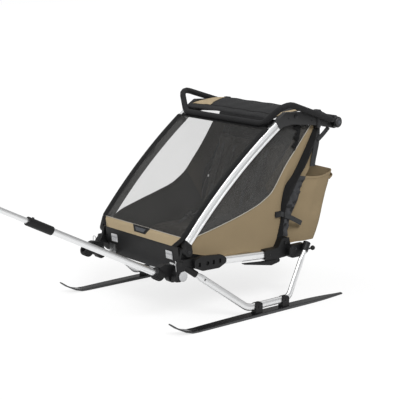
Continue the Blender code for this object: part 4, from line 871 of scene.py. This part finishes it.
class FrontCover(bpy.types.Operator):
    """Sews the front cover: mesh window, black edging, tan nose band and its bare badge"""

    bl_idname = "trailer.front_cover"
    bl_label = "Front cover"

    def execute(self, context):
        sewn = (["cover_window"], "front_cover")
        cloth("cover_window", (20, 36), self.window, "mesh", ["pillar_left", "pillar_right"], "front_cover", 0.0,
              ["front_cover"])
        for side, word in SIDES:
            cloth(f"cover_edging_{word}", (5, 40), partial(self.edging, side), "black", *sewn)
            rim = [cover_place(side, lerp(-NOSE_SHARE, 0.9, k / 30), 0.001, sizes().edging) for k in range(31)]
            bar(f"cover_seam_{word}", rim, 0.0012, "black", "front_cover", 6)
        cloth("cover_head_band", (16, 4),
              lambda u, v: cover_place(2 * u - 1, lerp(0.893, 0.916, v), 0.001, PILLAR_WIDTH + 0.002), "black", *sewn)
        cloth("nose_band", (24, 6), self.band, "sand", *sewn)
        top = [self.band(k / 24, 1.0) + Vector((0, -0.001, 0.001)) for k in range(25)]
        bar("nose_band_piping", top, 0.0016, "piping", "front_cover")
        self.badge("badge_frame", (0.048, 0.074), (-0.04, 0.003), 0.0075, "plastic")
        self.badge("badge_plate", (0.032, 0.046), (-0.031, -0.01), 0.0086, "grey_plate")
        return {"FINISHED"}

    def window(self, u, v):
        across = 2 * u - 1
        sag = -0.007 * (1 - across ** 2) * hump(v) ** 0.7
        return cover_place(across, lerp(-0.004, 0.908, v), sag + ripple((u * 3, v * 4, 1.0), 0.0015),
                           sizes().edging - 0.003)

    def edging(self, side, u, v):
        return cover_place(side, lerp(-NOSE_SHARE, 0.902, v), 0.0016 + 0.003 * hump(u), 0.0005 + u * sizes().edging)

    def band(self, u, v):
        across = 2 * u - 1
        point = cover_place(across, lerp(-NOSE_SHARE, 0.004, v), 0.003 + 0.0035 * hump(v) * (1 - across ** 4))
        point.x = across * lerp(0.311, 0.323, v)
        return point

    def badge(self, name, halves, shares, lift, look):
        """Trapezoid plate on the band, with nothing written on it."""
        def rule(u, v):
            half = lerp(*halves, v)
            point = cover_place(0.0, lerp(*shares, v), lift)
            point.x = lerp(-half, half, u)
            return point

        piece(name, thickened(laid_out(6, 4, rule), 0.0022), look, "front_cover", 30.0)


WINDOW_LINE = ((0.118, 0.426), (0.172, 0.437), (0.31, 0.4665), (0.4565, 0.503), (0.572, 0.54), (0.63, 0.5685),
               (0.671, 0.595), (0.705, 0.636), (0.767, 0.728), (0.83, 0.802), (0.89, 0.872), (0.948, 0.94))
LINING_LINE = ((0.118, 0.43), (0.17, 0.464), (0.3, 0.503), (0.43, 0.538), (0.519, 0.564), (0.567, 0.587),
               (0.628, 0.6275), (0.69, 0.695), (0.745, 0.757), (0.8, 0.828), (0.845, 0.89), (0.875, 0.925))
PILLAR_SHARES = (0.03, 0.08, 0.24, 0.38, 0.48, 0.57, 0.64, 0.71, 0.79, 0.88, 0.95, 0.985)
SKIRT_LINE = ((0.116, 0.38), (0.134, 0.354), (0.323, 0.309), (0.48, 0.3), (0.621, 0.291), (0.7115, 0.305),
              (0.748, 0.428), (0.7495, 0.52), (0.7726, 0.618), (0.8306, 0.684), (0.9, 0.793), (0.982, 0.938))
TRIM_LINE = ((0.772, 0.33), (0.772, 0.42), (0.782, 0.49), (0.818, 0.555), (0.874, 0.643), (0.935, 0.727),
             (0.974, 0.8), (0.99, 0.85), (1.002, 0.94))
TUFT_FRONT = ((0.834, 0.955), (0.845, 0.905), (0.841, 0.86), (0.824, 0.812))
TUFT_REAR = ((0.862, 0.955), (0.868, 0.915), (0.862, 0.873), (0.85, 0.84), (0.832, 0.806))


class SideWalls(bpy.types.Operator):
    """Sews the side walls: mesh window, tan skirt, its lining, piping and black trim at the rear"""

    bl_idname = "trailer.side_walls"
    bl_label = "Side walls"

    def execute(self, context):
        for side, word in SIDES:
            rail = [f"side_rail_{word}"]
            line = [self.on_wall(eased(WINDOW_LINE, k / 66), side, 0.0022) for k in range(67)]
            foot = [self.on_wall(eased(SKIRT_LINE, k / 40 * 0.5), side, 0.0015) for k in range(41)]
            crumples(
                cloth(f"side_window_{word}", (14, 40), partial(self.window, side), "side_mesh", rail, "base", 0.0,
                      [f"side_panel_{word}"]),
                cloth(f"side_skirt_{word}", (18, 60), partial(self.skirt, side), "tan", rail, thickness=0.0018),
                cloth(f"side_trim_{word}", (8, 48), partial(self.trim, side), "black", [f"upright_{word}"],
                      thickness=0.002, held="gathered"),
                bar(f"window_piping_{word}", line, sizes().piping, "piping"),
                bar(f"skirt_hem_{word}", foot, 0.0018, "tan", sides=6),
                cloth(f"side_lining_{word}", (12, 40), partial(self.lining, side, 0.0, 0.56), "lining",
                      [f"side_skirt_{word}"], thickness=0.0012),
                cloth(f"inner_band_{word}", (10, 24), partial(self.lining, side, 0.56, 1.0), "brown",
                      [f"side_skirt_{word}"], thickness=0.0012))
        crumples(cloth("gathered_strip", (6, 40), self.tuft, "black", ["side_window_left"], thickness=0.0012,
                       held="gathered"), self.fringe())
        return {"FINISHED"}

    def on_wall(self, point, side, lift):
        return at(side * (wall_x(point[1]) + lift), point[0], point[1])

    def window(self, side, u, v):
        share = eased([(s, 0.0) for s in PILLAR_SHARES], v).x
        point = eased(WINDOW_LINE, v).lerp(pillar_point(share, PILLAR_DEPTH / 3), u)
        return self.on_wall(point, side, -0.006 * hump(u) * hump(v) + ripple((u * 2, v * 5, 3.0), 0.003, 1.3))

    def skirt(self, side, u, v):
        point = between(SKIRT_LINE, WINDOW_LINE, u, v)
        belly = sizes().sag * hump(u) * (0.5 + hump(v))
        folds = ripple((point[0] * 9 + point[1] * 5, u * 1.4, side * 4.0), 0.004) * hump(u)
        return self.on_wall(point, side, belly * 0.6 + folds)

    def lining(self, side, start, end, u, v):
        """Cloth behind the skirt, cut a little higher than the window's edge: dark as far back as the seat."""
        return self.on_wall(between(SKIRT_LINE, LINING_LINE, u, lerp(start, end, v)), side, -0.011)

    def trim(self, side, u, v):
        point = between(SKIRT_LINE[5:], TRIM_LINE, u, v)
        puff = 0.01 * hump(u) + ripple((point[0] * 45, point[1] * 45, side), 0.006)
        return self.on_wall(point, side, max(puff, 0.0) + 0.001 + 0.004 * hump(u) - 0.008 * u ** 6)

    def tuft(self, u, v):
        """Dark gathered cloth at the top of the left window."""
        return self.on_wall(between(TUFT_FRONT, TUFT_REAR, u, v), 1, 0.003 + abs(ripple((u * 2, v * 5, 7.0), 0.003)))

    def fringe(self):
        """Loose ends along the strip's front edge."""
        bm = bmesh.new()
        for number in range(9):
            size = 0.034 + 0.012 * sin(number * 2.3)
            lean = Vector((0.12, -1.0, 0.45 * sin(number * 1.7) - 0.15)).normalized()
            turn = lean.to_track_quat("Z", "Y").to_matrix().to_4x4()
            cone = bmesh.ops.create_cone(bm, cap_ends=True, segments=8, radius1=0.0066, radius2=0.0014, depth=size)
            root = self.tuft(0.2, 0.1 + 0.098 * number)
            bmesh.ops.transform(bm, matrix=Matrix.Translation(root + lean * size / 2) @ turn, verts=cone["verts"])
        return piece("strip_fringe", bm, "black")


ROOF_ROUTE = ((0.656, 0.992), (0.665, 1.002), (0.7, 1.011), (0.76, 1.022), (0.86, 1.031), (0.93, 1.024),
              (0.957, 1.012))


class Roof(bpy.types.Operator):
    """Sews the roof: one curved sheet with a padded front roll, tan corner patches and seams"""

    bl_idname = "trailer.roof"
    bl_label = "Roof"

    def execute(self, context):
        cloth("roof_sheet", (36, 26), self.roof, "roof", ["roof_bracket_left", "roof_bracket_right"],
              "upper_frame", replaces=["roof_canopy"])
        for side, word in SIDES:
            cloth(f"roof_patch_{word}", (10, 12), partial(self.patch, side), "sand", ["roof_sheet"], "upper_frame",
                  0.0014)
        piece("roof_roll", self.roll(), "roof", "upper_frame")
        for name, v in (("roof_seam_front", 0.36), ("roof_seam_rear", 0.8)):
            line = [self.roof(0.03 + 0.94 * k / 24, v) + Vector((0, 0, 0.001)) for k in range(25)]
            bar(name, line, 0.0014, "black", "upper_frame", 6)
        return {"FINISHED"}

    def roof(self, u, v):
        across = 2 * u - 1
        y, z = eased(ROOF_ROUTE, v)
        drop = 0.01 * abs(across) ** 8
        slack = -0.004 * hump(v) * cos(across * pi * 2.5) ** 2
        return at(across * ROOF_HALF, y, z - drop + slack + ripple((u * 4, v * 4, 9.0), 0.002))

    def patch(self, side, u, v):
        """Tan corner: it narrows towards the rear, and on the left most of it is under the bracket."""
        along = lerp(0.33, 0.84, v) if side < 0 else lerp(0.3, 0.66, v)
        inner = lerp(0.54, 0.94, v ** 1.3) if side < 0 else lerp(0.86, 0.93, v)
        return self.roof(0.5 + side * lerp(inner, 0.985, u) / 2, along) + Vector((0, 0, 0.0016))

    def roll(self):
        """The rolled rain cover that hangs behind the grip, short of the right-hand corner."""
        route = [at(lerp(-0.06, 0.338, k / 30), 0.664 + ripple((k * 0.6, 2.0, 0), 0.003),
                    0.968 + ripple((k * 0.5, 5.0, 0), 0.002)) for k in range(31)]
        bm = drawn_along(route, [(a * 0.55, b * 1.25) for a, b in round_outline(0.021, 16)])
        for vert in bm.verts:
            vert.co += Vector((0, ripple(vert.co * 30, 0.003), ripple(vert.co * 26, 0.003)))
        return bm


def rounded_ring(share, half_x, half_y, corner):
    """A place on a rounded rectangle, share of the way round from the middle of its front, and the way out."""
    arc = pi / 2 * corner
    sides = (half_x - corner, 2 * (half_y - corner), 2 * (half_x - corner), 2 * (half_y - corner), half_x - corner)
    left = share * (2 * sum(sides[:2]) + sides[2] + 4 * arc)
    place, heading = Vector((0.0, -half_y)), 0.0
    for number, side in enumerate(sides):
        step = min(left, side)
        place += Vector((cos(heading), sin(heading))) * step
        left -= step
        if left <= 0 or number == 4:
            break
        turn = min(left, arc) / corner
        centre = place + Vector((-sin(heading), cos(heading))) * corner
        heading += turn
        place = centre + Vector((sin(heading), -cos(heading))) * corner
        left -= turn * corner
        if left <= 0:
            break
    return place, Vector((sin(heading), -cos(heading)))


def bag_ring(z):
    """Front and back of the bag at height z."""
    return upright_y(max(z, 0.336)) + 0.003, lerp(1.034, 1.146, (z - BAG_FOOT) / BAG_RISE)


GUSSET_FRONT = ((0.755, 0.35), (0.756, 0.44), (0.774, 0.53), (0.832, 0.62), (0.872, 0.664))
GUSSET_REAR = ((0.79, 0.345), (0.815, 0.44), (0.868, 0.53), (0.892, 0.6), (0.93, 0.655))
BAG_EAR = ((0.331, 0.988, 0.806), (0.331, 0.967, 0.75), (0.33, 0.944, 0.7), (0.327, 0.917, 0.662),
           (0.322, 0.905, 0.64))
BAG_TAB = ((0.318, 1.137, 0.65), (0.32, 1.147, 0.635), (0.318, 1.127, 0.615))


class CargoBag(bpy.types.Operator):
    """Sews the cargo bag: a sagging open shell with a hem, gussets, ears and tabs"""

    bl_idname = "trailer.cargo_bag"
    bl_label = "Cargo bag"

    def execute(self, context):
        closes_up(
            cloth("bag_wall", (96, 28), self.wall, "tan", ["rear_panel", "upright_left", "upright_right"],
                  "rear_frame", replaces=["cargo_bag"], held="hung", close=True),
            cloth("bag_floor", (20, 12), self.floor, "tan", ["bag_wall"], "rear_frame", held="hung"),
            cloth("bag_hem", (96, 4), lambda u, v: self.wall(u, lerp(0.955, 1.004, v), 0.0028), "tan", ["bag_wall"],
                  "rear_frame", 0.0018, held="hung", close=True))
        for side, word in SIDES:
            closes_up(
                cloth(f"bag_gusset_{word}", (12, 30), partial(self.gusset, side), "grey",
                      [f"upright_{word}", "bag_wall"], "rear_frame", 0.0016, held="gathered"),
                strap(f"bag_ear_{word}", places(BAG_EAR, side), 0.04, (side, 0, 0), "rear_frame", "tan"),
                strap(f"bag_tab_{word}", places(BAG_TAB, side), 0.02, (0, 1, 0), "rear_frame", "tan"))
        return {"FINISHED"}

    def wall(self, u, v, grow=0.0):
        z = lerp(BAG_FOOT, BAG_RIM, v)
        front, back = bag_ring(z)
        place, out = rounded_ring(u, BAG_HALF, (back - front) / 2, lerp(0.034, 0.026, v))
        flank = within((abs(place.x) / BAG_HALF - 0.9) / 0.09)
        along = (place.y + (back - front) / 2) / (back - front)
        belly = 0.008 * hump(v) * max(out.y, 0.0) * (1 - (place.x / BAG_HALF) ** 2)
        crease = ripple((place.x * 7, place.y * 9, v * 2.6), 0.006, 1.6) * hump(v)
        tuck = -0.008 * (1 - v) ** 9
        dip = -0.026 * hump(within(along)) ** 0.8 * flank * v ** 5
        rim = 0.004 * cos(place.x * 9) * v ** 3 + dip
        pinch = -0.046 * flank * within((0.62 - along) / 0.5) ** 1.15
        spot = place + out * (belly + tuck + grow + (crease if out.y > -0.5 else 0.0))
        return at(spot.x + copysign(1.0, place.x) * pinch, (front + back) / 2 + spot.y,
                  z + rim - 0.004 * (1 - v) ** 4)

    def floor(self, u, v):
        front, back = bag_ring(BAG_FOOT)
        a, b = 2 * u - 1, 2 * v - 1
        x = a * BAG_HALF * 0.95 * (1 - 0.06 * b ** 6)
        y = (front + back) / 2 + b * (back - front) / 2 * 0.95 * (1 - 0.06 * a ** 6)
        return at(x, y, 0.2955 - 0.007 * (1 - a ** 4) * (1 - b ** 4) - 0.006 * (1 - a ** 2) * abs(b) ** 8)

    def gusset(self, side, u, v):
        """Crumpled charcoal cloth between the upright and the bag's front corner."""
        point = between(GUSSET_FRONT, GUSSET_REAR, u, v)
        crumple = ripple((point[0] * 42, point[1] * 38, side * 3.0), 0.034) * hump(u) ** 0.5
        return at(side * (0.3395 + crumple + 0.006 * hump(u)), point[0], point[1])


class RearPanel(bpy.types.Operator):
    """Stretches the rear wall between the uprights, with seams across it and a hem along each upright"""

    bl_idname = "trailer.rear_panel"
    bl_label = "Rear wall"

    def execute(self, context):
        cloth("rear_wall", (48, 40), self.wall, "black", ["upright_left", "upright_right"], "rear_frame", 0.0018,
              ["rear_panel"])
        for name, v in (("rear_seam_low", 0.34), ("rear_seam_high", 0.74)):
            line = [self.wall(0.02 + 0.96 * k / 48, v) + Vector((0, 0.0012, 0.0)) for k in range(49)]
            bar(name, line, 0.0014, "black", "rear_frame", 6)
        for side, word in SIDES:
            line = [at(side * 0.304, *(eased(UPRIGHT_ROUTE, 0.05 + 0.87 * k / 30) - Vector((0.007, 0.0))))
                    for k in range(31)]
            bar(f"rear_hem_{word}", line, 0.0026, "black", "rear_frame")
        return {"FINISHED"}

    def wall(self, u, v):
        across = 2 * u - 1
        y, z = eased(UPRIGHT_ROUTE, lerp(0.02, 0.93, v))
        slack = -0.005 * (1 - across ** 2) * hump(v)
        ahead = -0.014 * within((abs(across) - 0.86) / 0.08)
        return at(across * 0.331, y + slack + ahead + ripple((u * 3, v * 6, 5.0), 0.0015), z)


def settle(obj):
    """Makes an object's modifiers part of its mesh."""
    made = bpy.data.meshes.new_from_object(obj.evaluated_get(bpy.context.evaluated_depsgraph_get()))
    obj.modifiers.clear()
    obj.data = made


def blown_up(name, size):
    """A rounded block of even mesh filled with air as cloth: the object, and where its points lay before."""
    width, depth, thick = size
    block = add_box(bmesh.new(), Vector((-width / 2, 0, 0)), Vector((width / 2, depth, thick)), thick * 0.22, 3)
    obj = linked(name, as_mesh(name, block))
    first, scene = obj.data, bpy.context.scene
    remesh = obj.modifiers.new("even", "REMESH")
    remesh.mode = "VOXEL"
    remesh.voxel_size = CUSHION_VOXEL
    settle(obj)
    bpy.data.meshes.remove(first)
    rest = [vert.co.copy() for vert in obj.data.vertices]
    filling = obj.modifiers.new("filling", "CLOTH")
    filling.settings.use_pressure = True
    filling.settings.uniform_pressure_force = CUSHION_PRESSURE
    filling.settings.effector_weights.gravity = 0.0
    filling.point_cache.frame_start = 1
    filling.point_cache.frame_end = CUSHION_FRAMES
    for number in range(1, CUSHION_FRAMES + 1):
        scene.frame_set(number)
    settle(obj)
    scene.frame_set(1)
    return obj, rest


def cushion(name, size, place, channels, replaces):
    """A cushion: a block blown up as cloth, then sewn into channels and put in its place."""
    obj, rest = blown_up(name, size)
    width, depth, thick = size
    for vert, start in zip(obj.data.vertices, rest):
        move = vert.co - start
        vert.co = start + move * min(1.0, sizes().cushion / max(move.length, 1e-6))
        u, v = 2 * start.x / width, 2 * start.y / depth - 1
        crown = max(0.0, (1 - abs(u) ** 3) * (1 - abs(v) ** 3))
        share = max(start.z / thick, 0.0)
        groove = sum(exp(-((u - c) / 0.035) ** 2) for c in channels) * 0.014 * (1 - abs(v) ** 6)
        puckers = ripple((start.x * 40, start.y * 14, 2.0), 0.0015)
        vert.co.z = max(vert.co.z, 0.0) + share * (crown * 0.01 - groove + puckers)
        vert.co.x *= 1 - 0.03 * (1 - v * v) * abs(u) ** 4
        vert.co.y = depth / 2 + (vert.co.y - depth / 2) * (1 - 0.04 * (1 - u * u) * abs(v) ** 4)
        vert.co = place(vert.co)
    bm = bmesh.new()
    bm.from_mesh(obj.data)
    layer = bm.loops.layers.uv.new("UVMap")
    for face in bm.faces:
        for loop in face.loops:
            loop[layer].uv = (loop.vert.co.x, loop.vert.co.y + loop.vert.co.z)
    bpy.data.objects.remove(obj)
    obj = piece(name, bm, "seat", "base", 80.0, replaces)
    return obj


class Seat(bpy.types.Operator):
    """Fills the bench and the reclined back, and lays two harnesses on them"""

    bl_idname = "trailer.seat"
    bl_label = "Seat"

    def execute(self, context):
        bench = cushion("bench_cushion", (0.52, 0.3, 0.08), lambda p: at(p.x, 0.31 + p.y, 0.286 + p.z), (0.0,),
                        ["seat_bench"])
        crumples(cushion("back_cushion", (0.52, 0.57, 0.044), lambda p: back_face(p.x, p.y + 0.012, p.z + 0.002),
                         (-0.5, 0.0, 0.5), ["seat_back"]))
        for side, word in SIDES:
            crumples(*self.harness(side * CHILD_X, word))
        at(0, 0, 0.2856)
        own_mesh(bench)
        return {"FINISHED"}

    def harness(self, centre, word):
        """One child's five-point harness: shoulder straps and pads, lap straps, crotch strap and buckle."""
        made = []
        buckle = at(centre, 0.508, 0.416)

        def lay(name, points, facing, look="harness", width=sizes().webbing, **shape):
            made.append(strap(f"{name}_{word}", points, width, facing, "base", look, **shape))

        for step, tag in ((0.048, "outer"), (-0.048, "inner")):
            route = [back_face(centre + step * share, climb, lift) for share, climb, lift in
                     ((1.0, 0.53, 0.052), (1.0, 0.5, 0.066), (0.95, 0.38, 0.07), (0.8, 0.24, 0.074),
                      (0.6, 0.15, 0.08))]
            route += [at(centre + step * 0.3, 0.56, 0.425), buckle + Vector((step * 0.15, 0.018, 0.002))]
            lay(f"shoulder_strap_{tag}", route, (0, -0.8, 0.6))
            pad = [back_face(centre + step * share, climb, lift) for share, climb, lift in
                   ((1.0, 0.47, 0.073), (0.95, 0.38, 0.077), (0.85, 0.27, 0.08))]
            lay(f"shoulder_pad_{tag}", pad, (0, -0.9, 0.4), "lining", 0.046, slot="seat_fabric", thickness=0.008,
                crown=0.003)
            lap = [back_face(centre + step * 2.3, 0.075, 0.052), at(centre + step * 2.0, 0.59, 0.412),
                   at(centre + step * 1.0, 0.54, 0.42), buckle + Vector((step * 0.35, 0.0, 0.002))]
            lay(f"lap_strap_{tag}", lap, (0, -0.3, 1.0))
        lay("crotch_strap", [at(centre, 0.42, 0.384), at(centre, 0.44, 0.398), at(centre, 0.47, 0.408),
                             buckle + Vector((0, -0.018, 0.0))], (0, -0.2, 1.0))
        bm = bmesh.new()
        for low, high, corner, segments in (((-0.022, -0.024, -0.004), (0.022, 0.024, 0.009), 0.0035, 3),
                                            ((-0.009, -0.012, 0.0088), (0.009, 0.01, 0.0112), 0.001, 2)):
            add_box(bm, buckle + Vector(low), buckle + Vector(high), corner, segments)
        made.append(piece(f"harness_buckle_{word}", bm, "plastic"))
        lay("seat_label", [back_face(centre - 0.105, climb, 0.062) for climb in (0.318, 0.306)], (0, -0.94, 0.34),
            "label", 0.01, thickness=0.001)
        return made


class Floor(bpy.types.Operator):
    """Stretches the fabric floor between the rails"""

    bl_idname = "trailer.cabin_floor"
    bl_label = "Cabin floor"

    def execute(self, context):
        cloth("floor_cloth", (24, 24), self.rule, "black", ["side_rail_left", "side_rail_right"], "base", 0.0024,
              ["floor"])
        return {"FINISHED"}

    def rule(self, u, v):
        low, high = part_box("floor")
        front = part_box("bumper")[1][1] + 0.001
        dip = -0.0012 * hump(u) * hump(v)
        return Vector((lerp(low[0], high[0], u), lerp(front, high[1], v),
                       high[2] - 0.001 + dip + ripple((u * 5, v * 5, 2.0), 0.0006)))


BAG_HANGER = ((0.343, 1.01, 0.95), (0.345, 1.006, 0.85), (0.345, 0.994, 0.79), (0.343, 0.984, 0.745),
              (0.341, 0.979, 0.705))
HUB_BRACE = ((0.356, 1.076, 0.912), (0.352, 1.04, 0.878), (0.3455, 1.005, 0.848))
LOWER_STRAP = ((0.346, 0.73, 0.48), (0.349, 0.79, 0.455), (0.348, 0.85, 0.425), (0.34, 0.9, 0.4))


class Straps(bpy.types.Operator):
    """Adds the webbing outside the cabin: bag hangers, hub braces and lower straps with their buckles"""

    bl_idname = "trailer.straps"
    bl_label = "Straps"

    def execute(self, context):
        for side, word in SIDES:
            out = (side, 0, 0)
            strap(f"bag_hanger_{word}", places(BAG_HANGER, side), 0.036, out, "rear_frame", thickness=0.003)
            brace = places(HUB_BRACE, side)
            sling = strap(f"hub_brace_{word}", brace, 0.024, out, None, thickness=0.006)
            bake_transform(sling)
            closes_up(strap(f"lower_strap_{word}", places(LOWER_STRAP, side), 0.026, out, "rear_frame",
                            thickness=0.003))
            bm = add_box(bmesh.new(), at(side * 0.345 - 0.005, 0.7, 0.458), at(side * 0.345 + 0.005, 0.742, 0.49),
                         0.002)
            crumples(piece(f"strap_buckle_{word}", bm, "plastic"))
        return {"FINISHED"}


class BracketTrim(bpy.types.Operator):
    """Adds the clamp band and the boss of each roof bracket, and the dimple of each hub button"""

    bl_idname = "trailer.bracket_trim"
    bl_label = "Bracket trim"

    def execute(self, context):
        for side, word in SIDES:
            bm = bmesh.new()
            for half, low, high, corner, segments in ((0.02, (0.964, 0.92), (0.992, 1.019), 0.006, 3),
                                                      (0.018, (0.992, 0.93), (1.002, 1.01), 0.004, 2)):
                add_box(bm, at(side * CLAMP_X - half, *low), at(side * CLAMP_X + half, *high), corner, segments)
            turned([(0.0, 0.0), (0.013, 0.0), (0.013, 0.003), (0.01, 0.005), (0.0, 0.005)],
                   at(side * BOSS_X, 0.809, 0.9965), side, 24, bm)
            piece(f"bracket_clamp_{word}", bm, "clamp", "upper_frame")
            low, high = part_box(f"hub_button_{word}")
            face = Vector((high[0] if side > 0 else low[0], (low[1] + high[1]) / 2, (low[2] + high[2]) / 2))
            dimple = turned([(0.0, 0.0), (0.01, 0.0), (0.01, 0.0008), (0.0075, 0.0014), (0.0, 0.0006)],
                            face - Vector((side * 0.0002, 0, 0)), side, 28)
            piece(f"hub_dimple_{word}", dimple, "grey_plate", f"hub_button_{word}")
        return {"FINISHED"}


WASHER = [(0.0, 0.0), (0.024, 0.0), (0.026, 0.0015), (0.026, 0.0045), (0.022, 0.006), (0.01, 0.0065), (0.0, 0.0065)]
HITCH_CLIP = ((0.362, 0.018, 0.256), (0.362, 0.013, 0.29), (0.361, 0.01, 0.322), (0.358, 0.011, 0.335),
              (0.353, 0.017, 0.333), (0.351, 0.021, 0.32))
LANYARD = ((0.338, 0.044, 0.338), (0.334, 0.036, 0.333), (0.33, 0.028, 0.32), (0.328, 0.021, 0.306),
           (0.327, 0.016, 0.292), (0.327, 0.011, 0.281))


class HitchTrim(bpy.types.Operator):
    """Adds the hitch's ribs, washers, clips and the lanyards that keep each pin with its corner"""

    bl_idname = "trailer.hitch_trim"
    bl_label = "Hitch trim"

    def execute(self, context):
        forward = (arm_at(1.0) - arm_at(0.0)).normalized()
        upward = Vector((0, forward.z, -forward.y))
        for side, word in SIDES:
            bm = bmesh.new()
            for k in range(DRUM_RIBS):
                angle = 2 * pi * k / DRUM_RIBS
                outward = Vector((cos(angle), 0, 0)) + upward * sin(angle)
                spine = arm_at(-0.006, side * SOCKET_X) + outward * 0.03
                drawn_along([spine, spine + forward * 0.04], round_outline(0.0022, 6), bm)
            piece(f"drum_ribs_{word}", bm, "plastic", f"hitch_{word}")
            piece(f"corner_washer_{word}", turned(WASHER, at(side * 0.3735, 0.047, 0.255), side, 28), "pale_plastic")
            bar(f"hitch_clip_{word}", route_through(places(HITCH_CLIP, side), 6), 0.0017, "steel")
        for side, word in SIDES:
            route = route_through(places(LANYARD, side), 4)
            obj = bar(f"pin_lanyard_{word}", route, 0.0016, "black")
            size = sum((b - a).length for a, b in zip(route, route[1:]))
            tuple(route[0])
            [tuple(p) for p in route]
        return {"FINISHED"}


class Fasteners(bpy.types.Operator):
    """Adds screws where the frame's parts are joined"""

    bl_idname = "trailer.fasteners"
    bl_label = "Fasteners"

    def execute(self, context):
        base, upper = bmesh.new(), bmesh.new()
        for side, _ in SIDES:
            for y in (0.45, 0.64):
                for face in (side, -side):
                    add_screw(base, at(side * SKI_X + face * LUG_HALF, y, 0.048), face, 0.006, 0.004)
            for bm, x, y, z, radius, height in (
                    (base, 0.3728, 0.148, 0.292, 0.005, 0.003), (base, 0.3728, 0.64, 0.268, 0.005, 0.003),
                    (base, 0.4047, 0.8, 0.285, 0.005, 0.003), (base, 0.4047, 0.866, 0.262, 0.006, 0.003),
                    (upper, 0.373, 0.088, 0.372, 0.009, 0.004), (upper, BOSS_X, 0.93, 0.965, 0.006, 0.003),
                    (upper, BOSS_X, 0.76, 0.99, 0.006, 0.003)):
                add_screw(bm, at(side * x, y, z), side, radius, height)
        piece("base_screws", base, "dark_steel")
        piece("upper_screws", upper, "dark_steel", "upper_frame")
        return {"FINISHED"}


OPERATORS = (Stage, FrameFinishes, Pillars, SkiTubes, FrontCover, SideWalls, Roof, CargoBag, RearPanel, Seat, Floor,
             Straps, BracketTrim, HitchTrim, Fasteners)


class TrailerPanel(bpy.types.Panel):
    """Buttons, colours and sizes of the trailer's pieces"""

    bl_idname = "VIEW3D_PT_trailer"
    bl_label = "Trailer"
    bl_space_type = "VIEW_3D"
    bl_region_type = "UI"
    bl_category = "Trailer"

    def draw(self, context):
        for kind in OPERATORS:
            self.layout.operator(kind.bl_idname)
        for group in (context.scene.trailer_colours, context.scene.trailer_sizes):
            box = self.layout.box()
            for name in group.bl_rna.properties.keys():
                if name not in ("rna_type", "name"):
                    box.prop(group, name)


CLASSES = (TrailerColours, TrailerSizes, *OPERATORS, TrailerPanel)


def register():
    for kind in CLASSES:
        bpy.utils.register_class(kind)
    bpy.types.Scene.trailer_colours = PointerProperty(type=TrailerColours)
    bpy.types.Scene.trailer_sizes = PointerProperty(type=TrailerSizes)


def unregister():
    del bpy.types.Scene.trailer_sizes
    del bpy.types.Scene.trailer_colours
    for kind in reversed(CLASSES):
        bpy.utils.unregister_class(kind)


def main():
    register()
    for kind in OPERATORS:
        group, name = kind.bl_idname.split(".")
        getattr(getattr(bpy.ops, group), name)()


if __name__ == "__main__":
    main()
